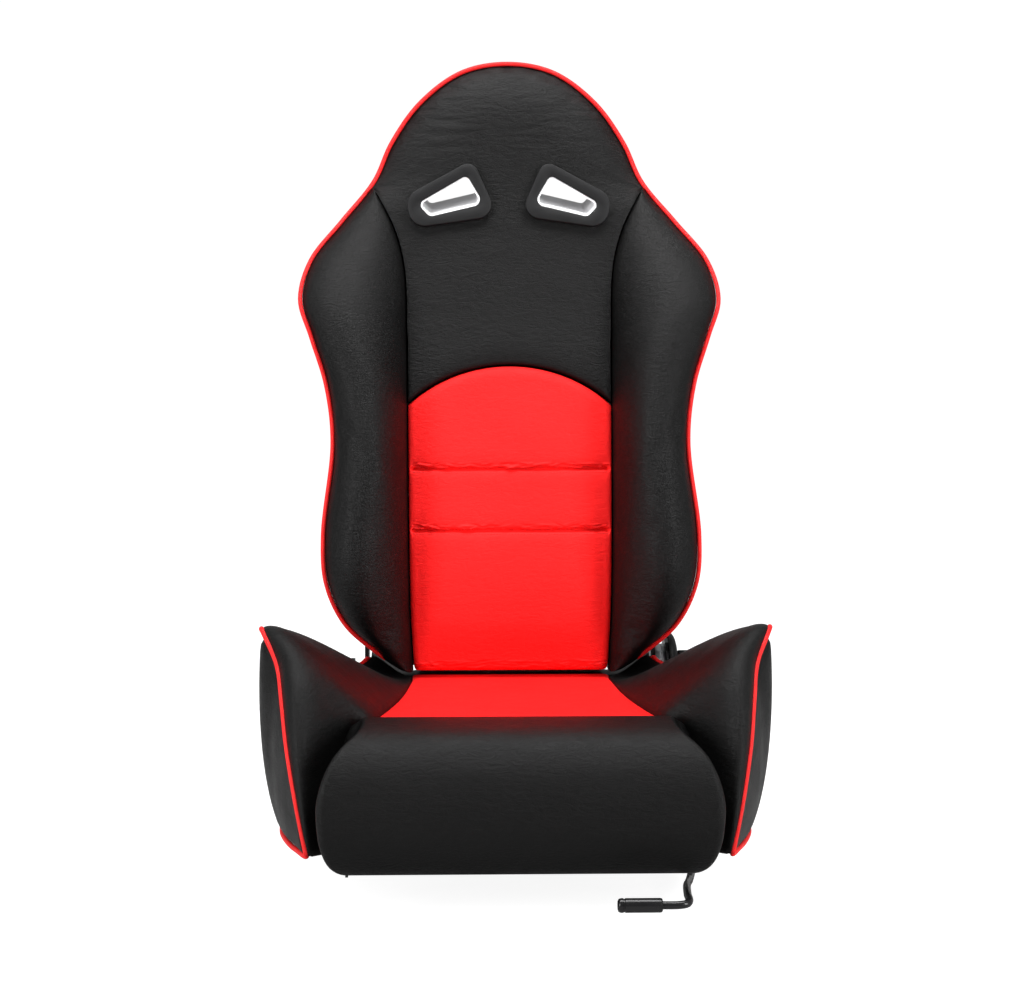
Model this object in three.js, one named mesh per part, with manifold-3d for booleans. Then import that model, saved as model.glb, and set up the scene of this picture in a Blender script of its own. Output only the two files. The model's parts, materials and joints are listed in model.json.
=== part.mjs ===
// A reclining sports seat on slide rails, as an assembly of separate pieces.
// Millimetres, +Z up, +X to the right of somebody who faces the seat, the occupant faces -Y.
// Everything is laid out with y = 0 at the front of the cushion's roll and z = 0 on the floor;
// the last lines move the whole seat so that its footprint is centred on the origin.
import * as THREE from 'three';
import { mergeVertices } from 'three/addons/utils/BufferGeometryUtils.js';
import Module from 'manifold-3d';

const wasm = await Module();
wasm.setup();

// ---------------------------------------------------------------- driving dimensions
const CENTRE_SETBACK = 292;   // from the front of the roll back to the middle of the footprint
const GAP = 0.5;              // clear space between neighbouring pieces that don't move

// slide rails
const RAIL_X = 168;           // centre of each rail from the middle of the seat
const RAIL_FRONT = 275;       // rail's front end
const RAIL_LENGTH = 330;
const RAIL_WIDTH = 46;
const RAIL_HEIGHT = 20;
const RAIL_WALL = 2.5;
const RAIL_LIP = 9;           // how far each lip turns inwards past the wall
const FLOOR_HOLE_R = 4.25;    // holes for the floor studs
const FLOOR_HOLE_INSET = 22;  // from each end of the lower rail
const WHEEL_R = 10;           // rail wheels
const WHEEL_HALF = 4.6;
const AXLE_R = 3;
const AXLE_PLAY = 0.6;
const WHEEL_SPREAD = 120;     // each wheel's distance from the middle of the rail
const CARRIER_HALF = 9;       // upper rail: half width of its raised channel
const CARRIER_FOOT = 9.5;     // and how far each foot reaches out under the lip
const CARRIER_PLATE = 3;

// cushion frame
const SIDE_X = 186;           // inner face of each side member
const SIDE_WALL = 3;
const SIDE_FRONT = 79;
const SIDE_BACK = 498;
const SIDE_TOP = 72;
const SIDE_NOSE = 35;         // bottom of its front end
const SIDE_FOOT = 38;         // width of the foot that sits on the rail
const TUBE_R = 11;
const FRONT_TUBE = [92, 58];  // y, z of the cross tubes
const REAR_TUBE = [440, 56];
const SPRING_R = 1.9;
const SPRING_ROWS = 3;
const SPRING_PITCH = 90;

// backrest hinge and recliner
const PIVOT_Y = 455;
const PIVOT_Z = 190;
const ARM_X = 172;            // inner face of each backrest arm
const ARM_WALL = 5;
const ARM_R = 26;
const BASE_X = 189.5;         // inner face of each base plate
const BASE_WALL = 5;
const BASE_R_LEFT = 24;
const GEAR_R = 40;
const COVER_R = 53;
const COVER_DEPTH = 11;
const COVER_WALL = 2;
const KNOB_R = 32;
const KNOB_DEPTH = 24;
const SHAFT_R = 6;
const RUNNING_PLAY = 0.4;

// slide handle
const HANDLE_X = 198;         // hinge line of the handle rod
const HANDLE_Z = 14;
const ROD_R = 4.3;
const GRIP_R = 7.7;
const GRIP_LENGTH = 49;
const LATCH_Y = 385;          // middle of the toothed latch
const LATCH_LENGTH = 56;
const LATCH_PITCH = 16;       // of its teeth and of the slots in the right rail's lip

// upholstery
const PIPING_R = 3.2;
const PIPING_CLEAR = 1.6;     // from the piping to the pads beside it
const PAD_DEPTH = 32;         // backrest foam from its front face to its back plane
const COVER_BACK = 54;        // depth of the rear cover behind the pads
const COVER_SHELL = 3;
const CUSHION_TOP = 202;
const INSERT_BOTTOM = 86;
const SEAT_BACK = 436;        // the seat's foam ends here, under the backrest

// Backrest outline, right half, from the bottom end of the piping to the crown: [x, z].
const BACK_OUTLINE = [
  [134, 210], [163, 231], [201, 267], [223, 316], [227, 374], [216, 484], [224, 550], [242, 607],
  [256, 653], [244, 700], [207, 748], [168, 797], [146, 845], [110, 895], [58, 933], [0, 944],
];
// Seam between the middle of the backrest and its bolster: height -> half width.
const SEAM = [[203, 117], [290, 121.5], [525, 124], [610, 125], [690, 128], [740, 141], [787, 166]];
// Middle of the backrest's front face: height -> y.
const SPINE = [[203, 394], [325, 402], [455, 428], [555, 455], [645, 482], [765, 512], [865, 528], [944, 540]];
// Piping round the backrest: height -> y.
const PIPING_Y = [
  [205, 388], [228, 381], [275, 372], [345, 370], [465, 400], [555, 425], [640, 446], [700, 480],
  [760, 520], [800, 540], [850, 550], [900, 556], [944, 563],
];
// How far the bolster swells forward of the line from seam to piping: height -> mm.
const SWELL = [[203, 8], [240, 28], [300, 48], [400, 58], [500, 58], [600, 52], [680, 38], [740, 18], [787, 2]];
const WING_TOP = 787;         // where the seam runs out into the piping
const ARC_TOP = 571;          // crown of the red panel
const ARC_SIDE = 524;
const RED_BOTTOM = 209;

// Harness slots: corners of the bezel and of the slot in it, right side: [x, z], with corner radii.
const BEZEL = [[44, 821], [13, 751], [118, 736], [127, 775]];
const BEZEL_CORNERS = [13, 18, 20, 20];
const SLOT = [[52, 800], [34, 771], [96, 757], [108, 769]];
const SLOT_CORNERS = [4, 6, 6, 4];
const SLOT_RISE = THREE.MathUtils.degToRad(8);    // each slot rises towards the rear
const HEAD_LEAN = THREE.MathUtils.degToRad(-11);  // and the bezels lie flat on the head's face
const SLOT_Z = 772;
const REAR_FLANGE = BEZEL.map(([x, z]) => [x, z + 11]);  // as the slot rises, so does its rear flange
const SLEEVE_WALL = 2.2;
const BEZEL_THICK = 4;
const BEZEL_STANDOFF = 7;    // from the middle of the head's face to the bezel's back

// Cushion bolster, right side, at stations from its bottom front corner, up its front edge, over the tip and
// back along its top edge: the outer piping, the side panel's bottom edge, the inner seam, and the two curves
// that swell the top of the bolster.
const RIM = [
  [229, 42, 69], [239, 46, 120], [251, 72, 183], [258, 103, 233], [264, 130, 261], [282, 165, 293],
  [284, 215, 283], [275, 275, 265], [256, 330, 240], [231, 368, 222], [207, 384, 213], [184, 398, 214], [169, 414, 222],
];
const SKIRT = [
  [229, 48, 66], [233, 62, 64], [240, 85, 63], [248, 110, 62], [255, 135, 62], [262, 170, 62],
  [265, 215, 62], [261, 275, 62], [247, 328, 63], [226, 362, 66], [205, 379, 74], [184, 391, 84], [171, 404, 92],
];
const INNER = [
  [200, 100, 66], [196, 104, 104], [190, 110, 158], [180, 117, 192], [169, 121, 201], [161, 127, 202],
  [144, 190, 202], [134, 245, 201], [127, 300, 200], [123, 345, 199], [121, 368, 199], [120, 384, 199], [120, 400, 199],
];
const CREST = [
  [226, 34, 68], [232, 24, 120], [240, 38, 192], [246, 66, 250], [253, 100, 284], [268, 150, 309],
  [270, 210, 306], [260, 275, 293], [240, 330, 272], [215, 364, 246], [192, 381, 225], [174, 396, 221], [160, 412, 228],
];
const HOLLOW = [
  [212, 48, 68], [216, 46, 114], [218, 60, 184], [218, 82, 240], [217, 108, 266], [215, 150, 278],
  [209, 205, 269], [197, 260, 254], [181, 310, 234], [166, 350, 215], [152, 372, 202], [147, 388, 202], [143, 402, 205],
];
const SKIRT_SWELL = 20;

// Front roll: its cross-section [y, z], and how its ends close: half width -> share of the section.
const ROLL = [
  [111, 205], [70, 206.5], [32, 197], [8, 170], [0, 124], [5, 82], [24, 54], [66, 43], [116, 44], [122, 120], [116, 196],
];
const ROLL_HALF = 220;
const ROLL_CORE = [88, 123];

// ---------------------------------------------------------------- helpers
// A smooth function through [t, value] pairs.
function through(table) {
  const slopes = table.map((_, i) => {
    const a = table[Math.max(i - 1, 0)];
    const b = table[Math.min(i + 1, table.length - 1)];
    return (b[1] - a[1]) / (b[0] - a[0]);
  });
  return (t) => {
    const clamped = THREE.MathUtils.clamp(t, table[0][0], table.at(-1)[0]);
    let i = table.findIndex((p) => p[0] >= clamped) - 1;
    i = Math.max(i, 0);
    const [t0, v0] = table[i];
    const [t1, v1] = table[i + 1];
    const h = t1 - t0;
    const s = (clamped - t0) / h;
    const s2 = s * s;
    const s3 = s2 * s;
    return v0 * (2 * s3 - 3 * s2 + 1) + slopes[i] * h * (s3 - 2 * s2 + s)
      + v1 * (3 * s2 - 2 * s3) + slopes[i + 1] * h * (s3 - s2);
  };
}

const V = (x, y, z) => new THREE.Vector3(x, y, z);
const { lerp, smoothstep, clamp } = THREE.MathUtils;

// One closed body from points and triangles; faces are turned out if they point in.
function body(points, triangles) {
  const flat = new THREE.BufferGeometry();
  flat.setAttribute('position', new THREE.Float32BufferAttribute(points.flatMap((p) => [p.x, p.y, p.z]), 3));
  flat.setIndex(triangles);
  const merged = mergeVertices(flat, 1e-3);
  const index = merged.index.array;
  const kept = [];
  let volume = 0;
  const at = (i) => V().fromBufferAttribute(merged.attributes.position, i);
  for (let i = 0; i < index.length; i += 3) {
    const [a, b, c] = [index[i], index[i + 1], index[i + 2]];
    if (a === b || b === c || c === a) continue;
    kept.push(a, b, c);
    volume += at(a).dot(at(b).cross(at(c)));
  }
  if (volume < 0) kept.reverse();
  merged.setIndex(kept);
  return merged;
}

// A slab between two grids of points with the same rows and columns.
function slab(front, back) {
  const rows = front.length;
  const columns = front[0].length;
  const points = [...front.flat(), ...back.flat()];
  const f = (i, j) => i * columns + j;
  const b = (i, j) => rows * columns + f(i, j);
  const triangles = [];
  const quad = (p, q, r, s) => triangles.push(p, q, r, p, r, s);
  for (let i = 0; i < rows - 1; i++) {
    for (let j = 0; j < columns - 1; j++) {
      quad(f(i, j), f(i, j + 1), f(i + 1, j + 1), f(i + 1, j));
      quad(b(i, j), b(i + 1, j), b(i + 1, j + 1), b(i, j + 1));
    }
    quad(f(i, 0), f(i + 1, 0), b(i + 1, 0), b(i, 0));
    quad(f(i + 1, columns - 1), f(i, columns - 1), b(i, columns - 1), b(i + 1, columns - 1));
  }
  for (let j = 0; j < columns - 1; j++) {
    quad(f(0, j + 1), f(0, j), b(0, j), b(0, j + 1));
    quad(f(rows - 1, j), f(rows - 1, j + 1), b(rows - 1, j + 1), b(rows - 1, j));
  }
  return body(points, triangles);
}

// A loft through closed loops of points, with fans over its two ends.
function loft(loops) {
  const count = loops[0].length;
  const points = loops.flat();
  const triangles = [];
  for (let i = 0; i < loops.length - 1; i++) {
    for (let j = 0; j < count; j++) {
      const k = (j + 1) % count;
      triangles.push(i * count + j, i * count + k, (i + 1) * count + k);
      triangles.push(i * count + j, (i + 1) * count + k, (i + 1) * count + j);
    }
  }
  for (const [i, turn] of [[0, 1], [loops.length - 1, 0]]) {
    const middle = loops[i].reduce((sum, p) => sum.add(p), V(0, 0, 0)).divideScalar(count);
    points.push(middle);
    for (let j = 0; j < count; j++) {
      const pair = [i * count + j, i * count + ((j + 1) % count)];
      if (turn) pair.reverse();
      triangles.push(points.length - 1, ...pair);
    }
  }
  return body(points, triangles);
}

// Extrusions along each axis of a shape drawn in the other two.
function alongY(shape, y0, y1) {
  const g = new THREE.ExtrudeGeometry(shape, { depth: y1 - y0, bevelEnabled: false, curveSegments: 6 });
  return g.applyMatrix4(new THREE.Matrix4().makeBasis(V(1, 0, 0), V(0, 0, 1), V(0, -1, 0))).translate(0, y1, 0);
}
function alongX(shape, x0, x1) {
  const g = new THREE.ExtrudeGeometry(shape, { depth: x1 - x0, bevelEnabled: false, curveSegments: 6 });
  return g.applyMatrix4(new THREE.Matrix4().makeBasis(V(0, 1, 0), V(0, 0, 1), V(1, 0, 0))).translate(x0, 0, 0);
}

function polygon(points) {
  return new THREE.Shape(points.map(([a, b]) => new THREE.Vector2(a, b)));
}
function hole(shape, a, b, radius) {
  shape.holes.push(new THREE.Path().absarc(a, b, radius, 0, 2 * Math.PI, true));
  return shape;
}

// A polygon with rounded corners, grown outwards by `grow`, as a shape or a hole.
function roundedOutline(Kind, corners, radii, grow = 0) {
  const middle = corners.reduce((m, c) => [m[0] + c[0] / corners.length, m[1] + c[1] / corners.length], [0, 0]);
  const grown = corners.map(([a, b]) => {
    const out = new THREE.Vector2(a - middle[0], b - middle[1]);
    return new THREE.Vector2(a, b).addScaledVector(out.clone().normalize(), grow * 1.35);
  });
  const path = new Kind();
  grown.forEach((corner, i) => {
    const before = grown.at(i - 1).clone().sub(corner).setLength(radii[i] + grow);
    const after = grown[(i + 1) % grown.length].clone().sub(corner).setLength(radii[i] + grow);
    const start = corner.clone().add(before);
    const end = corner.clone().add(after);
    if (i === 0) path.moveTo(start.x, start.y);
    else path.lineTo(start.x, start.y);
    path.quadraticCurveTo(corner.x, corner.y, end.x, end.y);
  });
  path.closePath();
  return path;
}

// A round bar or wire along a smooth line through points.
function bar(points, radius, steps, sides = 8) {
  const ring = [...Array(sides).keys()].map((i) => {
    const a = (2 * Math.PI * i) / sides;
    return [radius * Math.cos(a), radius * Math.sin(a)];
  });
  const path = new THREE.CatmullRomCurve3(points, false, 'centripetal');
  return new THREE.ExtrudeGeometry(polygon(ring), { steps, extrudePath: path, bevelEnabled: false });
}

// A turned piece: profile [radius, distance] along +X from a centre.
function turned(profile, x, y, z, sides = 20) {
  const g = new THREE.LatheGeometry(profile.map(([r, d]) => new THREE.Vector2(r, d)), sides);
  return g.rotateZ(-Math.PI / 2).translate(x, y, z);
}
function disc(x0, x1, radius, y, z, sides = 20) {
  return turned([[0, 0], [radius, 0], [radius, x1 - x0], [0, x1 - x0]], x0, y, z, sides);
}
function upright(z0, z1, radius, x, y, sides = 12) {
  return new THREE.CylinderGeometry(radius, radius, z1 - z0, sides).rotateX(Math.PI / 2).translate(x, y, (z0 + z1) / 2);
}

// Booleans.
function solid(geometry) {
  const bare = new THREE.BufferGeometry();
  const source = geometry.index ? geometry.toNonIndexed() : geometry;
  bare.setAttribute('position', source.getAttribute('position'));
  const merged = mergeVertices(bare, 1e-3);
  return new wasm.Manifold(new wasm.Mesh({
    numProp: 3,
    vertProperties: new Float32Array(merged.attributes.position.array),
    triVerts: new Uint32Array(merged.index.array),
  }));
}
function geometryOf(manifold) {
  const mesh = manifold.getMesh();
  const g = new THREE.BufferGeometry();
  const positions = new Float32Array(mesh.numVert * 3);
  for (let i = 0; i < mesh.numVert; i++) {
    positions.set(mesh.vertProperties.subarray(i * mesh.numProp, i * mesh.numProp + 3), i * 3);
  }
  g.setAttribute('position', new THREE.BufferAttribute(positions, 3));
  g.setIndex(new THREE.BufferAttribute(mesh.triVerts, 1));
  return g;
}
const cut = (g, ...tools) => geometryOf(tools.reduce((s, tool) => s.subtract(solid(tool)), solid(g)));
const join = (g, ...more) => geometryOf(more.reduce((s, other) => s.add(solid(other)), solid(g)));

const mirrored = (g) => {
  const copy = g.clone().scale(-1, 1, 1);
  if (!copy.index) copy.setIndex([...Array(copy.attributes.position.count).keys()]);
  copy.setIndex([...copy.index.array].reverse());
  return copy;
};

// ---------------------------------------------------------------- the assembly
const seat = new THREE.Group();
const finish = (color, roughness, metalness = 0) => new THREE.MeshStandardMaterial({ color, roughness, metalness });
const LEATHER = finish(0x141414, 0.45);
const RED_LEATHER = finish(0xd8100c, 0.5);
const PIPING = finish(0xd8100c, 0.4);
const STEEL = finish(0x8f9296, 0.4, 0.9);
const PAINTED = finish(0x101012, 0.5, 0.3);
const PLASTIC = finish(0x18181a, 0.5);
const GREY_PLASTIC = finish(0x3a3a3a, 0.6);
const PALE_PLASTIC = finish(0xc8c8c8, 0.4);
const BACK_CLOTH = finish(0x1a1a1a, 0.8);

function add(name, geometry, material) {
  const mesh = new THREE.Mesh(geometry, material);
  mesh.name = name;
  seat.add(mesh);
}
// One piece on the right as drawn, and its mirror image on the left.
function addPair(name, geometry, material) {
  add(name + '_right', geometry, material);
  add(name + '_left', mirrored(geometry), material);
}

// ---- slide rails: a lipped floor channel, and a hat-shaped carrier that rolls inside it on four wheels
const railBack = RAIL_FRONT + RAIL_LENGTH;
const railMiddle = RAIL_FRONT + RAIL_LENGTH / 2;
const wheelZ = RAIL_WALL + 0.2 + WHEEL_R;
const carrierUnder = wheelZ + WHEEL_R + 0.4;
const carrierTop = carrierUnder + CARRIER_PLATE;
const footTop = RAIL_HEIGHT - RAIL_WALL - 5.5;
const wheelRows = [['front', railMiddle - WHEEL_SPREAD], ['rear', railMiddle + WHEEL_SPREAD]];
{
  const w = RAIL_WIDTH / 2;
  const channel = polygon([
    [-w, 0], [w, 0], [w, RAIL_HEIGHT], [w - RAIL_WALL - RAIL_LIP, RAIL_HEIGHT],
    [w - RAIL_WALL - RAIL_LIP, RAIL_HEIGHT - RAIL_WALL], [w - RAIL_WALL, RAIL_HEIGHT - RAIL_WALL],
    [w - RAIL_WALL, RAIL_WALL], [RAIL_WALL - w, RAIL_WALL], [RAIL_WALL - w, RAIL_HEIGHT - RAIL_WALL],
    [RAIL_WALL + RAIL_LIP - w, RAIL_HEIGHT - RAIL_WALL], [RAIL_WALL + RAIL_LIP - w, RAIL_HEIGHT], [-w, RAIL_HEIGHT],
  ].map(([a, b]) => [a + RAIL_X, b]));
  const plain = alongY(channel, RAIL_FRONT, railBack);
  const studHoles = [RAIL_FRONT + FLOOR_HOLE_INSET, railBack - FLOOR_HOLE_INSET]
    .map((y) => upright(-1, RAIL_WALL + 1, FLOOR_HOLE_R, RAIL_X, y, 32));
  const pierced = cut(plain, ...studHoles);
  const latchSlots = [];
  for (let i = -5; i < 13; i++) {
    latchSlots.push(new THREE.BoxGeometry(6, 7, 8).translate(RAIL_X + w - RAIL_LIP, LATCH_Y + i * LATCH_PITCH, RAIL_HEIGHT));
  }
  add('lower_rail_right', cut(pierced, ...latchSlots), STEEL);
  add('lower_rail_left', mirrored(pierced), STEEL);
}
{
  const c = CARRIER_HALF;
  const foot = CARRIER_HALF + CARRIER_FOOT;
  const hat = polygon([
    [-foot, footTop - RAIL_WALL], [-c + RAIL_WALL, footTop - RAIL_WALL], [-c + RAIL_WALL, carrierUnder],
    [c - RAIL_WALL, carrierUnder], [c - RAIL_WALL, footTop - RAIL_WALL], [foot, footTop - RAIL_WALL],
    [foot, footTop], [c, footTop], [c, carrierTop], [-c, carrierTop], [-c, footTop], [-foot, footTop],
  ].map(([a, b]) => [a + RAIL_X, b]));
  const axleHoles = wheelRows.map(([, y]) =>
    disc(RAIL_X - c - 2, RAIL_X + c + 2, AXLE_R + AXLE_PLAY, y, wheelZ, 12));
  addPair('upper_rail', cut(alongY(hat, RAIL_FRONT, railBack), ...axleHoles), STEEL);
  const axleHalf = CARRIER_HALF + 1;
  for (const [place, y] of wheelRows) {
    addPair(`rail_wheel_${place}`, turned([
      [0, -axleHalf], [AXLE_R, -axleHalf], [AXLE_R, -WHEEL_HALF], [WHEEL_R, -WHEEL_HALF],
      [WHEEL_R, WHEEL_HALF], [AXLE_R, WHEEL_HALF], [AXLE_R, axleHalf], [0, axleHalf],
    ], RAIL_X, y, wheelZ, 16), STEEL);
  }
}

// ---- cushion frame: two angle side members bolted to the rails, two cross tubes and sinuous springs
const sideBottom = carrierTop + GAP;
const boltRows = [['front', RAIL_FRONT + 52], ['rear', railBack - 130]];
{
  const outer = SIDE_X + SIDE_WALL;
  const angle = polygon([
    [outer - SIDE_FOOT, sideBottom], [outer, sideBottom], [outer, SIDE_TOP], [SIDE_X, SIDE_TOP],
    [SIDE_X, sideBottom + SIDE_WALL], [outer - SIDE_FOOT, sideBottom + SIDE_WALL],
  ]);
  const boltHoles = boltRows.map(([, y]) => upright(sideBottom - 1, sideBottom + SIDE_WALL + 1, 4.4, RAIL_X, y));
  const upsweep = alongX(polygon([
    [SIDE_FRONT - 5, 0], [SIDE_FRONT - 5, SIDE_NOSE], [SIDE_FRONT + 40, SIDE_NOSE], [RAIL_FRONT - 20, sideBottom - 1],
    [RAIL_FRONT - 20, 0],
  ]), RAIL_X - SIDE_FOOT, SIDE_X + SIDE_WALL + 5);
  const side = cut(alongY(angle, SIDE_FRONT, SIDE_BACK), ...boltHoles, upsweep);
  const latchWindow = new THREE.BoxGeometry(14, LATCH_LENGTH + 6, 22).translate(SIDE_X, LATCH_Y, sideBottom);
  add('frame_side_right', cut(side, latchWindow), PAINTED);
  add('frame_side_left', mirrored(side), PAINTED);
  for (const [place, y] of boltRows) {
    const head = upright(sideBottom + SIDE_WALL + 0.3, sideBottom + SIDE_WALL + 5.8, 6.5, RAIL_X, y, 6);
    const shank = upright(carrierTop + 0.3, sideBottom + SIDE_WALL + 1, 3.9, RAIL_X, y, 10);
    addPair(`rail_bolt_${place}`, join(head, shank), STEEL);
  }
  const tube = ([y, z]) => disc(-SIDE_X + GAP, SIDE_X - GAP, TUBE_R, y, z, 14);
  add('front_cross_tube', tube(FRONT_TUBE), PAINTED);
  add('rear_cross_tube', tube(REAR_TUBE), PAINTED);

  const wireZ = Math.max(FRONT_TUBE[1], REAR_TUBE[1]) + TUBE_R + SPRING_R + 1;
  const bends = 7;
  const from = FRONT_TUBE[0];
  const span = REAR_TUBE[0] - from;
  for (let row = 0; row < SPRING_ROWS; row++) {
    const x = (row - (SPRING_ROWS - 1) / 2) * SPRING_PITCH;
    const wire = [V(x, from, wireZ)];
    for (let k = 0; k < bends; k++) {
      const side = k % 2 ? -22 : 22;
      const y = from + (span * (k + 1)) / (bends + 1);
      wire.push(V(x + side, y - 12, wireZ), V(x + side, y + 12, wireZ));
    }
    wire.push(V(x, from + span, wireZ));
    add(`seat_spring_${row + 1}`, bar(wire, SPRING_R, 36, 4), STEEL);
  }
}

// ---- recliner base plates, welded to the side members, and the hinge parts on each side
function basePlate(radius) {
  const plate = new THREE.Shape();
  plate.moveTo(PIVOT_Y - 44, sideBottom + 6);
  plate.lineTo(PIVOT_Y + 38, sideBottom + 6);
  plate.lineTo(PIVOT_Y + 30, PIVOT_Z - radius * 0.6);
  plate.absarc(PIVOT_Y, PIVOT_Z, radius, -0.5, Math.PI + 0.5, false);
  plate.lineTo(PIVOT_Y - 44, sideBottom + 40);
  return alongX(hole(plate, PIVOT_Y, PIVOT_Z, SHAFT_R + RUNNING_PLAY + 0.6), BASE_X, BASE_X + BASE_WALL);
}
add('recliner_base_right', basePlate(COVER_R - 6), PAINTED);
add('recliner_base_left', mirrored(basePlate(BASE_R_LEFT)), PAINTED);

const armOuter = ARM_X + ARM_WALL;
const gearMiddle = (armOuter + BASE_X) / 2;
{
  // Wobble-gear recliner: a ring with inner teeth on the arm, a disc with outer teeth on the base plate.
  const toothed = (count, low, high) => {
    const points = [];
    for (let i = 0; i < count; i++) {
      const a = (2 * Math.PI * i) / count;
      const step = (2 * Math.PI) / count / 4;
      [[a - step, low], [a - step * 0.4, high], [a + step * 0.4, high], [a + step, low]]
        .forEach(([t, r]) => points.push([PIVOT_Y + r * Math.cos(t), PIVOT_Z + r * Math.sin(t)]));
    }
    return points;
  };
  const bore = SHAFT_R + RUNNING_PLAY;
  const ringTeeth = 18;
  const ring = new THREE.Shape().absarc(PIVOT_Y, PIVOT_Z, GEAR_R, 0, 2 * Math.PI, false);
  const inside = new THREE.Path();
  inside.setFromPoints(toothed(ringTeeth, 33, 30.5).map(([a, b]) => new THREE.Vector2(a, b)).reverse());
  ring.holes.push(inside);
  const ringBody = alongX(ring, armOuter + 2.4, gearMiddle + 2);
  const ringFloor = cut(disc(armOuter + 0.3, armOuter + 2.5, GEAR_R, PIVOT_Y, PIVOT_Z, 24),
    disc(armOuter, armOuter + 4, bore + 0.6, PIVOT_Y, PIVOT_Z, 14));
  add('recliner_ring_gear', join(ringBody, ringFloor), STEEL);
  const boss = alongX(hole(polygon(toothed(ringTeeth - 1, 27, 29.8)), PIVOT_Y, PIVOT_Z, bore + 0.6),
    armOuter + 3.2, BASE_X - 3);
  const flange = cut(disc(gearMiddle + 2.4, BASE_X - 0.3, GEAR_R, PIVOT_Y, PIVOT_Z, 24),
    disc(gearMiddle, BASE_X + 2, bore + 0.6, PIVOT_Y, PIVOT_Z, 14));
  add('recliner_fixed_gear', join(boss, flange), STEEL);

  const coverIn = BASE_X + BASE_WALL + GAP;
  const coverOut = coverIn + COVER_DEPTH;
  const dome = [[1, 0], [1, 0.22], [0.93, 0.55], [0.78, 0.82], [0.5, 0.97]];
  const outerWall = dome.map(([r, d]) => [COVER_R * r, COVER_DEPTH * d]);
  const innerWall = dome.map(([r, d]) => [(COVER_R - COVER_WALL) * r, (COVER_DEPTH - COVER_WALL) * d]).reverse();
  const coverBore = SHAFT_R + 1.5;
  add('recliner_cover', turned([
    ...outerWall, [coverBore, COVER_DEPTH], [coverBore, COVER_DEPTH - COVER_WALL], ...innerWall, outerWall[0],
  ], coverIn, PIVOT_Y, PIVOT_Z, 24), PLASTIC);

  const shaftEnd = coverOut + 6;
  add('recliner_shaft', disc(ARM_X - 6, shaftEnd, SHAFT_R, PIVOT_Y, PIVOT_Z, 12), STEEL);
  const lobes = [];
  for (let i = 0; i < 32; i++) {
    const a = (2 * Math.PI * i) / 32;
    const r = KNOB_R - (i % 4 === 0 ? 2.5 : 0);
    lobes.push([PIVOT_Y + r * Math.cos(a), PIVOT_Z + r * Math.sin(a)]);
  }
  const knobIn = coverOut + RUNNING_PLAY;
  const knob = join(alongX(polygon(lobes), knobIn, knobIn + KNOB_DEPTH * 0.6),
    turned([[0, 0], [KNOB_R - 3.5, 0], [KNOB_R - 9, KNOB_DEPTH * 0.4], [0, KNOB_DEPTH * 0.4]],
      knobIn + KNOB_DEPTH * 0.6 - 0.5, PIVOT_Y, PIVOT_Z, 20));
  const socket = disc(knobIn - 1, shaftEnd + GAP, SHAFT_R + GAP, PIVOT_Y, PIVOT_Z, 12);
  add('recliner_knob', cut(knob, socket), PLASTIC);

  const bush = cut(disc(armOuter + 0.4, BASE_X - 0.4, 13, PIVOT_Y, PIVOT_Z, 16),
    disc(armOuter, BASE_X, SHAFT_R + RUNNING_PLAY, PIVOT_Y, PIVOT_Z, 12));
  add('pivot_bush_left', mirrored(bush), STEEL);
  const boltStart = ARM_X - 3;
  const boltFlat = BASE_X + BASE_WALL + 0.4;
  add('pivot_bolt_left', mirrored(join(disc(boltStart, boltFlat + 1, SHAFT_R - 0.3, PIVOT_Y, PIVOT_Z, 12),
    disc(boltFlat, boltFlat + 7, 10, PIVOT_Y, PIVOT_Z, 6))), STEEL);
}

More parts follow.
